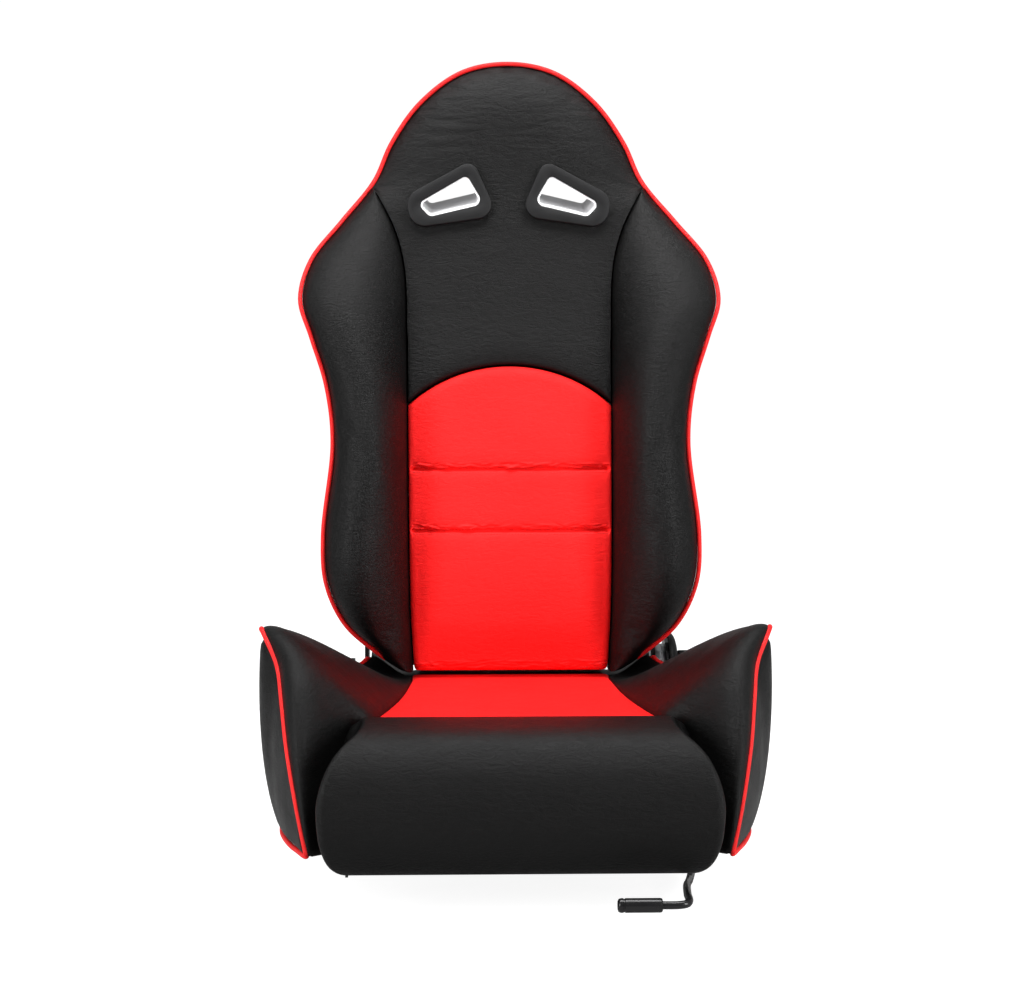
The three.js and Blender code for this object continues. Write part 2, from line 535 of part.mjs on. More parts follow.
// ---- slide handle: a cranked rod with a grip, that turns in a guide on the frame and lifts a toothed latch
const gripY = -30;
const rodReach = 182;         // where the rod's straight length starts
const rodEnd = RAIL_FRONT + 190;
{
  const bendX = HANDLE_X - 22;
  const bendZ = HANDLE_Z + 17;
  const gripEnd = 100;
  const rod = [
    V(HANDLE_X, rodEnd, HANDLE_Z), V(HANDLE_X, rodReach + 60, HANDLE_Z), V(HANDLE_X, rodReach, HANDLE_Z),
    V(191, 128, 17.5), V(183.5, 78, 24.5), V(178, 14, bendZ),
    V(bendX + 0.5, gripY + 12, bendZ + 1), V(bendX - 3, gripY + 3, bendZ + 0.5),
    V(bendX - 12, gripY, bendZ), V(bendX - 30, gripY, bendZ), V(gripEnd + GRIP_LENGTH - 1, gripY, bendZ),
  ];
  add('slide_handle_rod', bar(rod, ROD_R, 34, 7), PAINTED);
  add('slide_handle_grip', turned([
    [0, 0], [GRIP_R - 3, 0], [GRIP_R, 3.5], [GRIP_R, GRIP_LENGTH - 2], [GRIP_R - 1.5, GRIP_LENGTH - 1.5], [0, GRIP_LENGTH - 1.5],
  ], gripEnd, gripY, bendZ, 16), PLASTIC);

  const railTopClear = RAIL_HEIGHT + 0.6;
  const toothX = RAIL_X + RAIL_WIDTH / 2 - RAIL_LIP;
  const latchSection = polygon([
    [HANDLE_X - 3, HANDLE_Z + ROD_R + 0.3], [HANDLE_X + 2, HANDLE_Z + ROD_R + 0.3], [HANDLE_X + 2, railTopClear + 5],
    [toothX - 2, railTopClear + 5], [toothX - 2, railTopClear + 2.6], [HANDLE_X - 3, railTopClear + 2.6],
  ]);
  const teeth = [-1, 0, 1].map((i) => new THREE.BoxGeometry(4, 5, 3)
    .translate(toothX, LATCH_Y + i * LATCH_PITCH, railTopClear + 1.5));
  add('slide_latch', join(alongY(latchSection, LATCH_Y - LATCH_LENGTH / 2, LATCH_Y + LATCH_LENGTH / 2), ...teeth), PAINTED);

  const guideY = RAIL_FRONT + 20;
  const besideRail = RAIL_X + RAIL_WIDTH / 2 + 0.8;
  const besideFrame = SIDE_X + SIDE_WALL + 0.4;
  const guide = hole(polygon([
    [besideRail, HANDLE_Z - 8], [HANDLE_X + 9, HANDLE_Z - 8], [HANDLE_X + 9, HANDLE_Z + 8],
    [besideFrame + 3, SIDE_TOP - 14], [besideFrame, SIDE_TOP - 14], [besideFrame, RAIL_HEIGHT + 3],
    [besideRail, RAIL_HEIGHT + 3],
  ]), HANDLE_X, HANDLE_Z, ROD_R + 0.5);
  add('handle_guide', alongY(guide, guideY, guideY + 5), PAINTED);

  const turns = 4;
  const coil = [];
  for (let i = 0; i <= turns * 8; i++) {
    const a = (2 * Math.PI * i) / 8;
    coil.push(V(HANDLE_X + 5.6 * Math.cos(a), guideY + 9 + (i * 3.4) / 8, HANDLE_Z + 5.6 * Math.sin(a)));
  }
  add('handle_return_spring', bar(coil, 0.8, turns * 8, 4), STEEL);
}

// ---- backrest frame: arms, a hoop, two cross tubes and two sinuous springs
const spineY = through(SPINE);
const pipingY = through(PIPING_Y);
const swell = through(SWELL);
const seamX = through(SEAM);
const backPlane = (z) => spineY(z) + PAD_DEPTH;
const hoopBehind = 15 + TUBE_R;
{
  const armTop = 330;
  const lean = spineY(armTop) + PAD_DEPTH + hoopBehind - PIVOT_Y;
  const arm = new THREE.Shape();
  arm.absarc(PIVOT_Y, PIVOT_Z, ARM_R, Math.PI + 0.3, -0.3, false);
  arm.lineTo(PIVOT_Y + lean + 15, armTop);
  arm.lineTo(PIVOT_Y + lean - 15, armTop);
  hole(arm, PIVOT_Y, PIVOT_Z, SHAFT_R + RUNNING_PLAY + 0.4);
  addPair('backrest_arm', alongX(arm, ARM_X, ARM_X + ARM_WALL), PAINTED);

  const hoopX = ARM_X - TUBE_R - 1.5;
  const at = (x, z) => V(x, backPlane(z) + hoopBehind, z);
  const besideSlot = Math.max(...SLOT.map(([x]) => x)) + SLEEVE_WALL + TUBE_R + 5;
  const half = [at(hoopX, 300), at(hoopX, 420), at(hoopX - 6, 560), at(hoopX - 6, 680), at(besideSlot, 762),
    at(besideSlot - 24, 830), at(besideSlot - 62, 878)];
  const hoop = [...half, at(0, 893), ...[...half].reverse().map((p) => V(-p.x, p.y, p.z))];
  add('backrest_hoop', bar(hoop, TUBE_R - 2, 36, 8), PAINTED);
  const lowerZ = 272;
  add('backrest_lower_tube', disc(-ARM_X + GAP, ARM_X - GAP, TUBE_R, backPlane(lowerZ) + hoopBehind, lowerZ, 14), PAINTED);
  const upperZ = 640;
  const inner = hoopX - 6 - TUBE_R + 1.4;
  add('backrest_upper_tube', disc(-inner, inner, TUBE_R - 3, backPlane(upperZ) + hoopBehind, upperZ, 12), PAINTED);
  for (const [i, z] of [[1, 400], [2, 510]]) {
    const wire = [];
    for (let k = 0; k <= 8; k++) {
      const x = -inner + 2 + ((2 * inner - 4) * k) / 8;
      const rise = k === 0 || k === 8 ? 0 : (k % 2 ? 20 : -20);
      wire.push(V(x, backPlane(z + rise) + hoopBehind, z + rise));
    }
    add(`back_spring_${i}`, bar(wire, SPRING_R, 32, 4), STEEL);
  }
}

// ---- backrest pads
const outline = new THREE.SplineCurve(BACK_OUTLINE.map(([x, z]) => new THREE.Vector2(x, z)));
const OUTLINE_STEPS = 25;
const stations = outline.getSpacedPoints(OUTLINE_STEPS);
// The outline moved inwards by some distance, at its stations.
function inset(distance) {
  return stations.map((p, i) => {
    const a = stations[Math.max(i - 1, 0)];
    const b = i === OUTLINE_STEPS ? new THREE.Vector2(-stations[i - 1].x, stations[i - 1].y) : stations[i + 1];
    const along = b.clone().sub(a).normalize();
    return new THREE.Vector2(p.x - along.y * distance, p.y + along.x * distance);
  }).map((p, i) => (i === OUTLINE_STEPS ? new THREE.Vector2(0, p.y) : p));
}
// Distance from (x, z) to the outline, its mirror image and its bottom.
function edgeDistance(x, z) {
  let best = z - BACK_OUTLINE[0][1] + 6;
  for (let i = 0; i < OUTLINE_STEPS; i++) {
    const [a, b] = [stations[i], stations[i + 1]];
    const d = b.clone().sub(a);
    const t = clamp(((Math.abs(x) - a.x) * d.x + (z - a.y) * d.y) / d.lengthSq(), 0, 1);
    best = Math.min(best, Math.hypot(Math.abs(x) - a.x - t * d.x, z - a.y - t * d.y));
  }
  return best;
}
const shares = (count) => [...Array(count + 1).keys()].map((i) => i / count);
const padEdge = inset(2 * PIPING_R + PIPING_CLEAR);
const wingRows = padEdge.filter((p) => p.y < WING_TOP - 8);
{
  // Bolsters, from the seam out to the piping.
  const across = [0, 0.06, 0.2, 0.38, 0.56, 0.74, 0.9, 1];
  const wing = (face) => wingRows.map((edge) => across.map((u) => {
    const x = lerp(seamX(edge.y) + GAP, edge.x, u);
    const line = lerp(spineY(edge.y) + 3, pipingY(edge.y), u);
    const y = face ? line - swell(edge.y) * Math.sin(Math.PI * u) ** 0.75 : backPlane(edge.y);
    return V(x, y, edge.y);
  }));
  const armPocket = new THREE.BoxGeometry(ARM_WALL + 2, 90, 160)
    .translate(ARM_X + ARM_WALL / 2, PIVOT_Y + 22, PIVOT_Z + 68);
  const wingPad = cut(slab(wing(true), wing(false)), armPocket);
  addPair('backrest_bolster', wingPad, LEATHER);

  // The black panel: head and shoulders, down to the arc over the red panel.
  const arcR = ((seamX(ARC_SIDE) ** 2) + (ARC_TOP - ARC_SIDE) ** 2) / (2 * (ARC_TOP - ARC_SIDE));
  const arcZ = (x) => ARC_TOP - arcR + Math.sqrt(arcR * arcR - x * x);
  const columns = shares(10).map((s) => 2 * s - 1);
  const headRows = padEdge.filter((p) => p.y > WING_TOP - 8);
  const panelY = (x, z) => {
    const rim = 1 - smoothstep(edgeDistance(x, z), 6, 60);
    return spineY(z) + (z > 700 ? (pipingY(z) - spineY(z)) * rim ** 2 * smoothstep(z, 700, 790) : 0);
  };
  const upper = [];
  for (const r of shares(3)) {
    upper.push(columns.map((c) => {
      const x = c * (seamX(ARC_SIDE) - GAP);
      return [x, lerp(arcZ(x) + GAP, 600, r)];
    }));
  }
  for (const z of [630, 660, 690, 715, 740, 762]) {
    upper.push(columns.map((c) => [c * (seamX(z) - GAP), z]));
  }
  for (const edge of headRows) {
    upper.push(columns.map((c) => [c * edge.x, edge.y]));
  }
  const faces = (rows, frontY) => [
    rows.map((row) => row.map(([x, z]) => V(x, frontY(x, z), z))),
    rows.map((row) => row.map(([x, z]) => V(x, backPlane(z), z))),
  ];
  const leaning = (g, angle) => g.translate(0, 0, -SLOT_Z).rotateX(angle).translate(0, spineY(SLOT_Z), SLOT_Z);
  const slotCut = (grow) => {
    return leaning(alongY(roundedOutline(THREE.Shape, SLOT, SLOT_CORNERS, grow), -160, 160), SLOT_RISE);
  };
  const pocket = slotCut(SLEEVE_WALL + 1);
  add('backrest_panel', cut(slab(...faces(upper, panelY)), pocket, mirrored(pocket)), LEATHER);

  // The red panel.
  const red = [];
  for (const z of [RED_BOTTOM, 222, 260, 320, 369, 376, 410, 441, 448, 480, 505]) {
    const tuck = z < 215 ? 4 : 0;
    red.push(columns.map((c) => [c * (seamX(z) - GAP - tuck), z]));
  }
  red.push(columns.map((c) => {
    const x = c * (seamX(ARC_SIDE) - GAP);
    return [x, arcZ(x) - GAP];
  }));
  const redY = (x, z) => spineY(z) - 7 * smoothstep(seamX(z) - Math.abs(x), 0, 14) * smoothstep(z, RED_BOTTOM, 225);
  add('backrest_red_panel', slab(...faces(red, redY)), RED_LEATHER);

  // The rear cover is a tray that closes the backrest behind the frame.
  const coverPoint = (edge, c, wall) => {
    const x = c * edge.x;
    const d = clamp((edgeDistance(x, edge.y) - 5 - wall) / 30, 0, 1);
    const deep = (1 - (1 - d) ** 3) ** (1 / 3);
    return V(x, backPlane(edge.y) + GAP + (COVER_BACK - wall) * deep, edge.y);
  };
  const coverColumns = [-1, -0.97, -0.9, -0.78, -0.5, 0, 0.5, 0.78, 0.9, 0.97, 1];
  const tray = (wall) => inset(5 + wall).map((edge) => coverColumns.map((c) => coverPoint(edge, c, wall)));
  const rearPocket = slotCut(SLEEVE_WALL + 1);
  const armSlot = new THREE.BoxGeometry(ARM_WALL + 2, 130, 130)
    .translate(ARM_X + ARM_WALL / 2, PIVOT_Y + 15, PIVOT_Z + 28);
  add('backrest_rear_cover', cut(slab(tray(0), tray(COVER_SHELL)), rearPocket, mirrored(rearPocket),
    armSlot, mirrored(armSlot)), BACK_CLOTH);

  // Piping round the backrest.
  const rimAt = inset(PIPING_R + 0.3).map((p) => V(p.x, pipingY(p.y) - 0.3, p.y));
  const rim = [...rimAt, ...[...rimAt.slice(0, -1)].reverse().map((p) => V(-p.x, p.y, p.z))];
  add('backrest_piping', bar(rim, PIPING_R, 60, 5), PIPING);

  // Harness slots: a bezel on the front, and a sleeve with its own rear flange through the backrest.
  const frontFace = -BEZEL_STANDOFF - BEZEL_THICK;
  const bezel = leaning(alongY(roundedOutline(THREE.Shape, BEZEL, BEZEL_CORNERS), frontFace, -BEZEL_STANDOFF), HEAD_LEAN);
  addPair('harness_bezel', cut(bezel, slotCut(SLEEVE_WALL + 0.4)), GREY_PLASTIC);
  const behind = PAD_DEPTH + COVER_BACK + 1.5;
  const sleeve = leaning(alongY(roundedOutline(THREE.Shape, SLOT, SLOT_CORNERS, SLEEVE_WALL), -60, behind + 20), SLOT_RISE);
  const flange = leaning(alongY(roundedOutline(THREE.Shape, REAR_FLANGE, BEZEL_CORNERS), behind, behind + 3), HEAD_LEAN);
  const inFront = leaning(new THREE.BoxGeometry(400, 100, 300).translate(0, frontFace - 49, SLOT_Z), HEAD_LEAN);
  const beyond = leaning(new THREE.BoxGeometry(400, 100, 400).translate(0, behind + 53, SLOT_Z), HEAD_LEAN);
  addPair('harness_sleeve', cut(join(sleeve, flange), inFront, beyond, slotCut(0)), PALE_PLASTIC);
}

// ---- cushion bolsters, their side panels and piping
const curve = (points) => new THREE.CatmullRomCurve3(points.map((p) => V(...p)), false, 'centripetal');
const BOLSTER_STATIONS = 21;
{
  // The roll closes its ends by shrinking its section towards a point near its middle.
  const rollSection = new THREE.SplineCurve([...ROLL, ROLL[0]].map(([y, z]) => new THREE.Vector2(y, z))).getSpacedPoints(20);
  rollSection.pop();
  const rollBody = (grow) => {
    const ends = [0, 0.4, 0.7, 0.84, 0.92, 0.965, 0.99];
    return loft([...ends.map((s) => -s).reverse(), ...ends.slice(1)].map((s) => {
      const close = (1 - Math.abs(s) ** 12) ** (1 / 2.4) * (1 + grow / 60);
      return rollSection.map((p) => V(s * (ROLL_HALF + grow * 2),
        lerp(ROLL_CORE[0], p.x, close), lerp(ROLL_CORE[1], p.y, close)));
    }));
  };
  const notchFront = SIDE_FRONT - 3;
  const frameNotch = new THREE.BoxGeometry(2 * SIDE_X + 12, 100, INSERT_BOTTOM).translate(0, notchFront + 50, INSERT_BOTTOM / 2);

  // Curves share one station parameter, so that each station joins matching points.
  const at = (points, t) => curve(points).getPoint(t);
  const bezier = (a, b, c, d, w) => new THREE.CubicBezierCurve3(a, b, c, d).getPoint(w);
  const sideOut = (t) => V(Math.cos(1.1 * smoothstep(t, 0.75, 1)), Math.sin(1.1 * smoothstep(t, 0.75, 1)), 0);
  const section = (t) => {
    const rim = at(RIM, t);
    const skirt = at(SKIRT, t);
    const swelling = SKIRT_SWELL * smoothstep(t, 0, 0.3) * (1 - 0.7 * smoothstep(t, 0.6, 1));
    const out = sideOut(t);
    const n1 = rim.clone().lerp(skirt, 0.35).addScaledVector(out, swelling * 0.75);
    const n2 = rim.clone().lerp(skirt, 0.8).addScaledVector(out, swelling);
    return {
      rim, skirt, out,
      top: (w) => bezier(rim, at(CREST, t), at(HOLLOW, t), at(INNER, t), w),
      side: (w) => bezier(rim, n1, n2, skirt, w),
      inner: at(INNER, t),
    };
  };
  const times = shares(BOLSTER_STATIONS);
  const sideWall = 2.4;
  const loops = times.map((t) => {
    const s = section(t);
    const low = Math.min(INSERT_BOTTOM - 2, s.inner.z - 4);
    const ledge = Math.max(SIDE_TOP + 4, s.skirt.z + 4);
    const inwards = s.out.clone().multiplyScalar(-sideWall - 3);
    const clearOfPiping = s.rim.clone().add(s.out.clone().multiplyScalar(-PIPING_R - 1.8)).add(V(0, 0, -1.5));
    const side = [0.12, 0.3, 0.5, 0.7, 0.86].map((w) => s.side(w).add(inwards));
    const hem = s.skirt.clone().add(s.out.clone().multiplyScalar(-PIPING_R - 2.4)).add(V(0, 0, 0.5));
    const stepX = Math.min(SIDE_X + SIDE_WALL + 2, hem.x - 2);
    return [
      clearOfPiping,
      ...[0.06, 0.16, 0.3, 0.46, 0.62, 0.8, 1].map((w) => s.top(w)),
      V(s.inner.x, s.inner.y, low),
      V(Math.min(stepX, hem.x - 4), (s.inner.y + hem.y) / 2, Math.min(ledge, low + 20)),
      V(Math.min(stepX + 1, hem.x - 3), hem.y, hem.z + 1),
      hem,
      ...side.reverse(),
    ];
  });
  const panelTimes = times.filter((t) => t >= 0.07 && t <= 0.93);
  const panelShares = [0.08, 0.2, 0.4, 0.6, 0.8, 0.91];
  const face = (depth) => panelTimes.map((t) => {
    const s = section(t);
    return panelShares.map((w) => s.side(w).add(s.out.clone().multiplyScalar(-depth)));
  });
  const hemTimes = times.filter((t) => t > 0.05 && t < 0.97);
  const pipingPath = [...times.map((t) => at(RIM, t)), ...hemTimes.map((t) => at(SKIRT, t)).reverse()];
  const groove = bar(pipingPath, PIPING_R + 0.7, 48, 5);
  addPair('cushion_piping', bar(pipingPath, PIPING_R, 48, 5), PIPING);
  addPair('cushion_side_panel', cut(slab(face(0), face(sideWall)), groove), LEATHER);
  addPair('cushion_bolster', cut(loft(loops), groove, rollBody(GAP)), LEATHER);
  add('cushion_front_roll', cut(rollBody(0), frameNotch), LEATHER);

  // The red seat panel is the top of a deep foam block between the bolsters.
  const seatHalf = (y) => {
    const innerLine = curve(INNER);
    let best = null;
    for (const t of shares(80)) {
      const p = innerLine.getPoint(t);
      if (!best || Math.abs(p.y - y) < Math.abs(best.y - y)) best = p;
    }
    return best.x - GAP - 2.5;
  };
  const rows = [124.5, 132, 142, 160, 190, 230, 290, 340, 372, 392, 404, 416, SEAT_BACK];
  const columns = shares(10).map((s) => 2 * s - 1);
  const topZ = (x, y) => CUSHION_TOP - 1.5 - 4 * Math.sin(Math.PI * smoothstep(y, 110, 400)) * (1 - (x / 130) ** 2)
    - 7 * smoothstep(y, 376, 395) + 10 * smoothstep(y, 396, 416);
  const block = (top) => rows.map((y) => columns.map((c) => {
    const x = c * seatHalf(y);
    return V(x, y, top ? topZ(x, y) : INSERT_BOTTOM);
  }));
  add('cushion_red_panel', slab(block(true), block(false)), RED_LEATHER);
}

seat.position.y = -CENTRE_SETBACK;

export default seat;
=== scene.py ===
# A reclining sports seat in black and red synthetic leather, on slide rails.
# Lengths are in millimetres as they are laid out on the seat: y is 0 at the front of the cushion's roll and
# grows towards the rear, z is 0 on the floor. metres() turns them into the frame's own coordinates.
import math
import bmesh
import bpy
import numpy as np
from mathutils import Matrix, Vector
from mathutils.bvhtree import BVHTree
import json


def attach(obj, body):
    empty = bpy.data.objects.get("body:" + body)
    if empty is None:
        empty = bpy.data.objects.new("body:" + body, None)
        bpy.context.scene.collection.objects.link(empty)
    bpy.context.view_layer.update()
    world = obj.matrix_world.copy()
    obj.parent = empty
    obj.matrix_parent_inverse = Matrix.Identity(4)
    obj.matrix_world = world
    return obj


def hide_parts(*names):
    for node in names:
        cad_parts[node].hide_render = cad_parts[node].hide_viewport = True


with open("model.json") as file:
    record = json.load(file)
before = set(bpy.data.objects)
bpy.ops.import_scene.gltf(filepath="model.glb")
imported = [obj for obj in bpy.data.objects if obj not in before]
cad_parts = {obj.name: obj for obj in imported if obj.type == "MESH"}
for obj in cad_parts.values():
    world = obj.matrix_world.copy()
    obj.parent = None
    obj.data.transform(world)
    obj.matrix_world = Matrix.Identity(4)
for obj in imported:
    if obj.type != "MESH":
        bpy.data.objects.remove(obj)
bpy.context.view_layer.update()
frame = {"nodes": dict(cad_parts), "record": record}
scene = bpy.context.scene


# Backrest bolsters: foam wings under black synthetic leather, sewn to the middle panel along an inner seam
# and to the piping along the outline, with a filled cover that swells between them. The backrest is drawn
# from the front: its outline (x, z), its seams by height, and the depth of each line by height.
PIPING_R = 2.7
CUSHION_PIPING_R = 3.0
PAD_EDGE = 2 * PIPING_R - 0.3
PAD_DEPTH = 32
COVER_BACK = 54
WING_TOP = 787
SEAM_GAP = 0.6
BACK_OUTLINE = [
    (134, 210), (163, 231), (201, 267), (223, 316), (227, 374), (216, 484), (224, 550), (242, 607),
    (256, 653), (244, 700), (207, 748), (168, 797), (146, 845), (110, 895), (58, 933), (0, 944),
]


# Smooth functions through tables of values, and smooth lines through points.
def table(pairs):
    t, v = np.array(pairs, float).T
    left, right = np.maximum(np.arange(len(t)) - 1, 0), np.minimum(np.arange(len(t)) + 1, len(t) - 1)
    slope = (v[right] - v[left]) / (t[right] - t[left])

    def value(q):
        q = np.clip(q, t[0], t[-1])
        i = np.clip(np.searchsorted(t, q, side="left") - 1, 0, len(t) - 2)
        h = t[i + 1] - t[i]
        s = (q - t[i]) / h
        return (v[i] * (2 * s**3 - 3 * s**2 + 1) + slope[i] * h * (s**3 - 2 * s**2 + s)
                + v[i + 1] * (3 * s**2 - 2 * s**3) + slope[i + 1] * h * (s**3 - s**2))
    return value


seam_x = table([(203, 117), (290, 121.5), (525, 124), (610, 125), (690, 128), (740, 141), (787, 166)])
spine_y = table([(203, 394), (325, 402), (455, 428), (555, 455), (645, 482), (765, 512), (865, 528),
                 (944, 540)])
piping_y = table([
    (205, 388), (228, 381), (275, 372), (345, 370), (465, 400), (555, 425), (640, 446), (700, 480),
    (760, 520), (800, 540), (850, 550), (900, 556), (944, 563),
])
swell = table([(203, 8), (240, 28), (300, 48), (400, 58), (500, 58), (600, 52), (680, 38), (740, 18),
               (787, 2)])
RED_ARC_TOP, RED_ARC_SIDE, RED_BOTTOM = 571, 524, 207


def spline(points, t):
    p = np.array(points, float)
    p = np.vstack([2 * p[0] - p[1], p, 2 * p[-1] - p[-2]])
    s = np.clip(np.asarray(t, float), 0, 1) * (len(points) - 1)
    i = np.minimum(s.astype(int), len(points) - 2)
    u = (s - i)[:, None]
    a, b, c, d = p[i], p[i + 1], p[i + 2], p[i + 3]
    ab, bc, cd = (np.maximum(np.sum((q - r) ** 2, axis=1) ** 0.25, 1e-4)[:, None] for q,
                  r in ((a, b), (b, c), (c, d)))
    m1 = ((b - a) / ab - (c - a) / (ab + bc) + (c - b) / bc) * bc
    m2 = ((c - b) / bc - (d - b) / (bc + cd) + (d - c) / cd) * bc
    return (b * (2 * u**3 - 3 * u**2 + 1) + m1 * (u**3 - 2 * u**2 + u)
            + c * (3 * u**2 - 2 * u**3) + m2 * (u**3 - u**2))


def spaced(points, count):
    """count points, equally far apart, along a polyline."""
    points = np.asarray(points, float)
    along = np.r_[0, np.cumsum(np.linalg.norm(np.diff(points, axis=0), axis=1))]
    at = np.linspace(0, along[-1], count)
    return np.column_stack([np.interp(at, along, points[:, k]) for k in range(points.shape[1])])


def smooth_line(points, count):
    return spaced(spline(points, np.linspace(0, 1, 40 * len(points))), count)


fine_outline = smooth_line(BACK_OUTLINE + [(-58, 933)], 900)
fine_outline = fine_outline[fine_outline[:, 0] >= 0]
rng = np.random.default_rng(7)


def inset(distance, count=None):
    """The right half of the outline, moved inwards, from the bottom to the crown."""
    distance = np.reshape(distance, (-1, 1))
    ahead = np.gradient(fine_outline, axis=0)
    ahead /= np.linalg.norm(ahead, axis=1)[:, None]
    moved = fine_outline + distance * np.column_stack([-ahead[:, 1], ahead[:, 0]])
    moved[-1, 0] = 0
    return spaced(moved, count) if count else moved


pad_edge = inset(PAD_EDGE)


def step(x, low, high):
    s = np.clip((x - low) / (high - low), 0, 1)
    return s * s * (3 - 2 * s)


pad_end = inset(0.5 + (PAD_EDGE - 0.5) * step(fine_outline[:, 1], 222, 233))
wing_edge = spaced(np.vstack([[(119.5, 206), (126, 208)], pad_end[pad_end[:, 1] < WING_TOP + 1.5]]), 100)
across = (1 - np.cos(np.linspace(0, math.pi, 25))) / 2
edge_x, edge_z = wing_edge[:, :1], wing_edge[:, 1:]
inner_x = seam_x(edge_z) + SEAM_GAP
wing_x = inner_x + (edge_x - inner_x) * across
wing_z = np.broadcast_to(edge_z, wing_x.shape)
width = edge_x - inner_x
wing_base = (spine_y(edge_z) + 3) * (1 - across) + (piping_y(edge_z) - 1) * across
along = np.r_[0, np.cumsum(np.linalg.norm(np.diff(wing_edge, axis=0), axis=1))][:, None]


def quarter(distance, radius):
    """Fall of a rounded edge: 1 at the edge and 0 from radius inwards."""
    return 1 - np.sqrt(np.maximum(0, 1 - (1 - np.clip(distance / radius, 0, 1)) ** 2))


wing_y = (wing_base - (swell(edge_z) - 2) * np.sin(math.pi * across) ** 0.75
          + 3.5 * quarter(across * width, 7) + 3.5 * quarter((1 - across) * width, 6)
          + 7 * quarter(along, 12))


def grid_faces(rows, columns, offset=0, close_rows=False, close_columns=False):
    faces = []
    for i in range(rows if close_rows else rows - 1):
        for j in range(columns if close_columns else columns - 1):
            a, b = i * columns, ((i + 1) % rows) * columns
            k = (j + 1) % columns
            faces.append((offset + a + j, offset + a + k, offset + b + k, offset + b + j))
    return faces


def slab(front, back):
    """Points and faces of a closed pad between two grids, front first."""
    rows, columns = front.shape[:2]
    count = rows * columns
    faces = grid_faces(rows, columns) + grid_faces(rows, columns, count)
    edge = ([(0, j) for j in range(columns)] + [(i, columns - 1) for i in range(1, rows)]
            + [(rows - 1, j) for j in range(columns - 2, -1, -1)]
            + [(i, 0) for i in range(rows - 2, 0, -1)])
    ring = [i * columns + j for i, j in edge]
    for a, b in zip(ring, ring[1:] + ring[:1]):
        faces.append((a, b, b + count, a + count))
    return np.vstack([front.reshape(-1, 3), back.reshape(-1, 3)]), faces, np.array(ring)


def back_plane(z):
    return spine_y(z) + PAD_DEPTH


def stacked(x, y, z):
    return np.stack([x, y, z], axis=-1)


points, faces, ring = slab(stacked(wing_x, wing_y, wing_z), stacked(wing_x, back_plane(wing_z), wing_z))
CENTRE_SETBACK = 292


def metres(points):
    return (np.asarray(points, float) - (0, CENTRE_SETBACK, 0)) / 1000


def settle(obj, body, nodes=()):
    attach(obj, body)
    if nodes:
        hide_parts(*nodes)


# Every material is procedural and follows the object's own coordinates, in metres.
def material(name, colour, rough, metal=0.0, specular=0.5, coat=0.0):
    mat = bpy.data.materials.new(name)
    mat.use_nodes = True
    shader = mat.node_tree.nodes["Principled BSDF"]
    shader.inputs["Base Color"].default_value = (*colour, 1)
    shader.inputs["Roughness"].default_value = rough
    shader.inputs["Metallic"].default_value = metal
    shader.inputs["Specular IOR Level"].default_value = specular
    shader.inputs["Coat Weight"].default_value = coat
    shader.inputs["Coat Roughness"].default_value = 0.3
    return mat


# A closed or open shell from points and faces, which rides on a body and stands for nodes of the frame.
def piece(name, points, faces, material, body, nodes=(), sharp=None, in_metres=False):
    mesh = bpy.data.meshes.new(name)
    mesh.from_pydata((points if in_metres else metres(points)).tolist(), [], [list(f) for f in faces])
    bm = bmesh.new()
    bm.from_mesh(mesh)
    bmesh.ops.remove_doubles(bm, verts=bm.verts, dist=2e-6)
    bmesh.ops.recalc_face_normals(bm, faces=bm.faces)
    bm.to_mesh(mesh)
    bm.free()
    mesh.shade_smooth()
    if sharp:
        mesh.set_sharp_from_angle(angle=math.radians(sharp))
    obj = bpy.data.objects.new(name, mesh)
    scene.collection.objects.link(obj)
    mesh.materials.append(material)
    settle(obj, body, nodes)
    return obj


def node(mat, kind, inputs=None, **settings):
    made = mat.node_tree.nodes.new(kind)
    for key, value in settings.items():
        setattr(made, key, value)
    for key, value in (inputs or {}).items():
        if isinstance(value, bpy.types.NodeSocket):
            mat.node_tree.links.new(value, made.inputs[key])
        else:
            made.inputs[key].default_value = value
    return made


def place(mat):
    return node(mat, "ShaderNodeTexCoord").outputs["Object"]


def vary(mat, where, scale, low, high, detail=4.0, distortion=0.0):
    """A smooth random value between low and high."""
    noise = node(mat, "ShaderNodeTexNoise", {"Vector": where, "Scale": scale, "Detail": detail,
                                             "Distortion": distortion})
    return node(mat, "ShaderNodeMapRange", {"Value": noise.outputs["Fac"], "From Min": 0.25,
                                            "From Max": 0.75, "To Min": low,
                                            "To Max": high}).outputs["Result"]


def tint(mat, colour, amount):
    """The base colour, made lighter or darker by a random value."""
    scaled = node(mat, "ShaderNodeVectorMath", {0: colour, "Scale": amount}, operation="SCALE")
    mat.node_tree.links.new(scaled.outputs["Vector"],
                            mat.node_tree.nodes["Principled BSDF"].inputs["Base Color"])


def relief(mat, *layers):
    """Bump layers of (height socket, depth in metres, strength), on top of each other."""
    normal = None
    for height, depth, strength in layers:
        given = {"Height": height, "Distance": depth, "Strength": strength}
        if normal:
            given["Normal"] = normal
        normal = node(mat, "ShaderNodeBump", given).outputs["Normal"]
    mat.node_tree.links.new(normal, mat.node_tree.nodes["Principled BSDF"].inputs["Normal"])


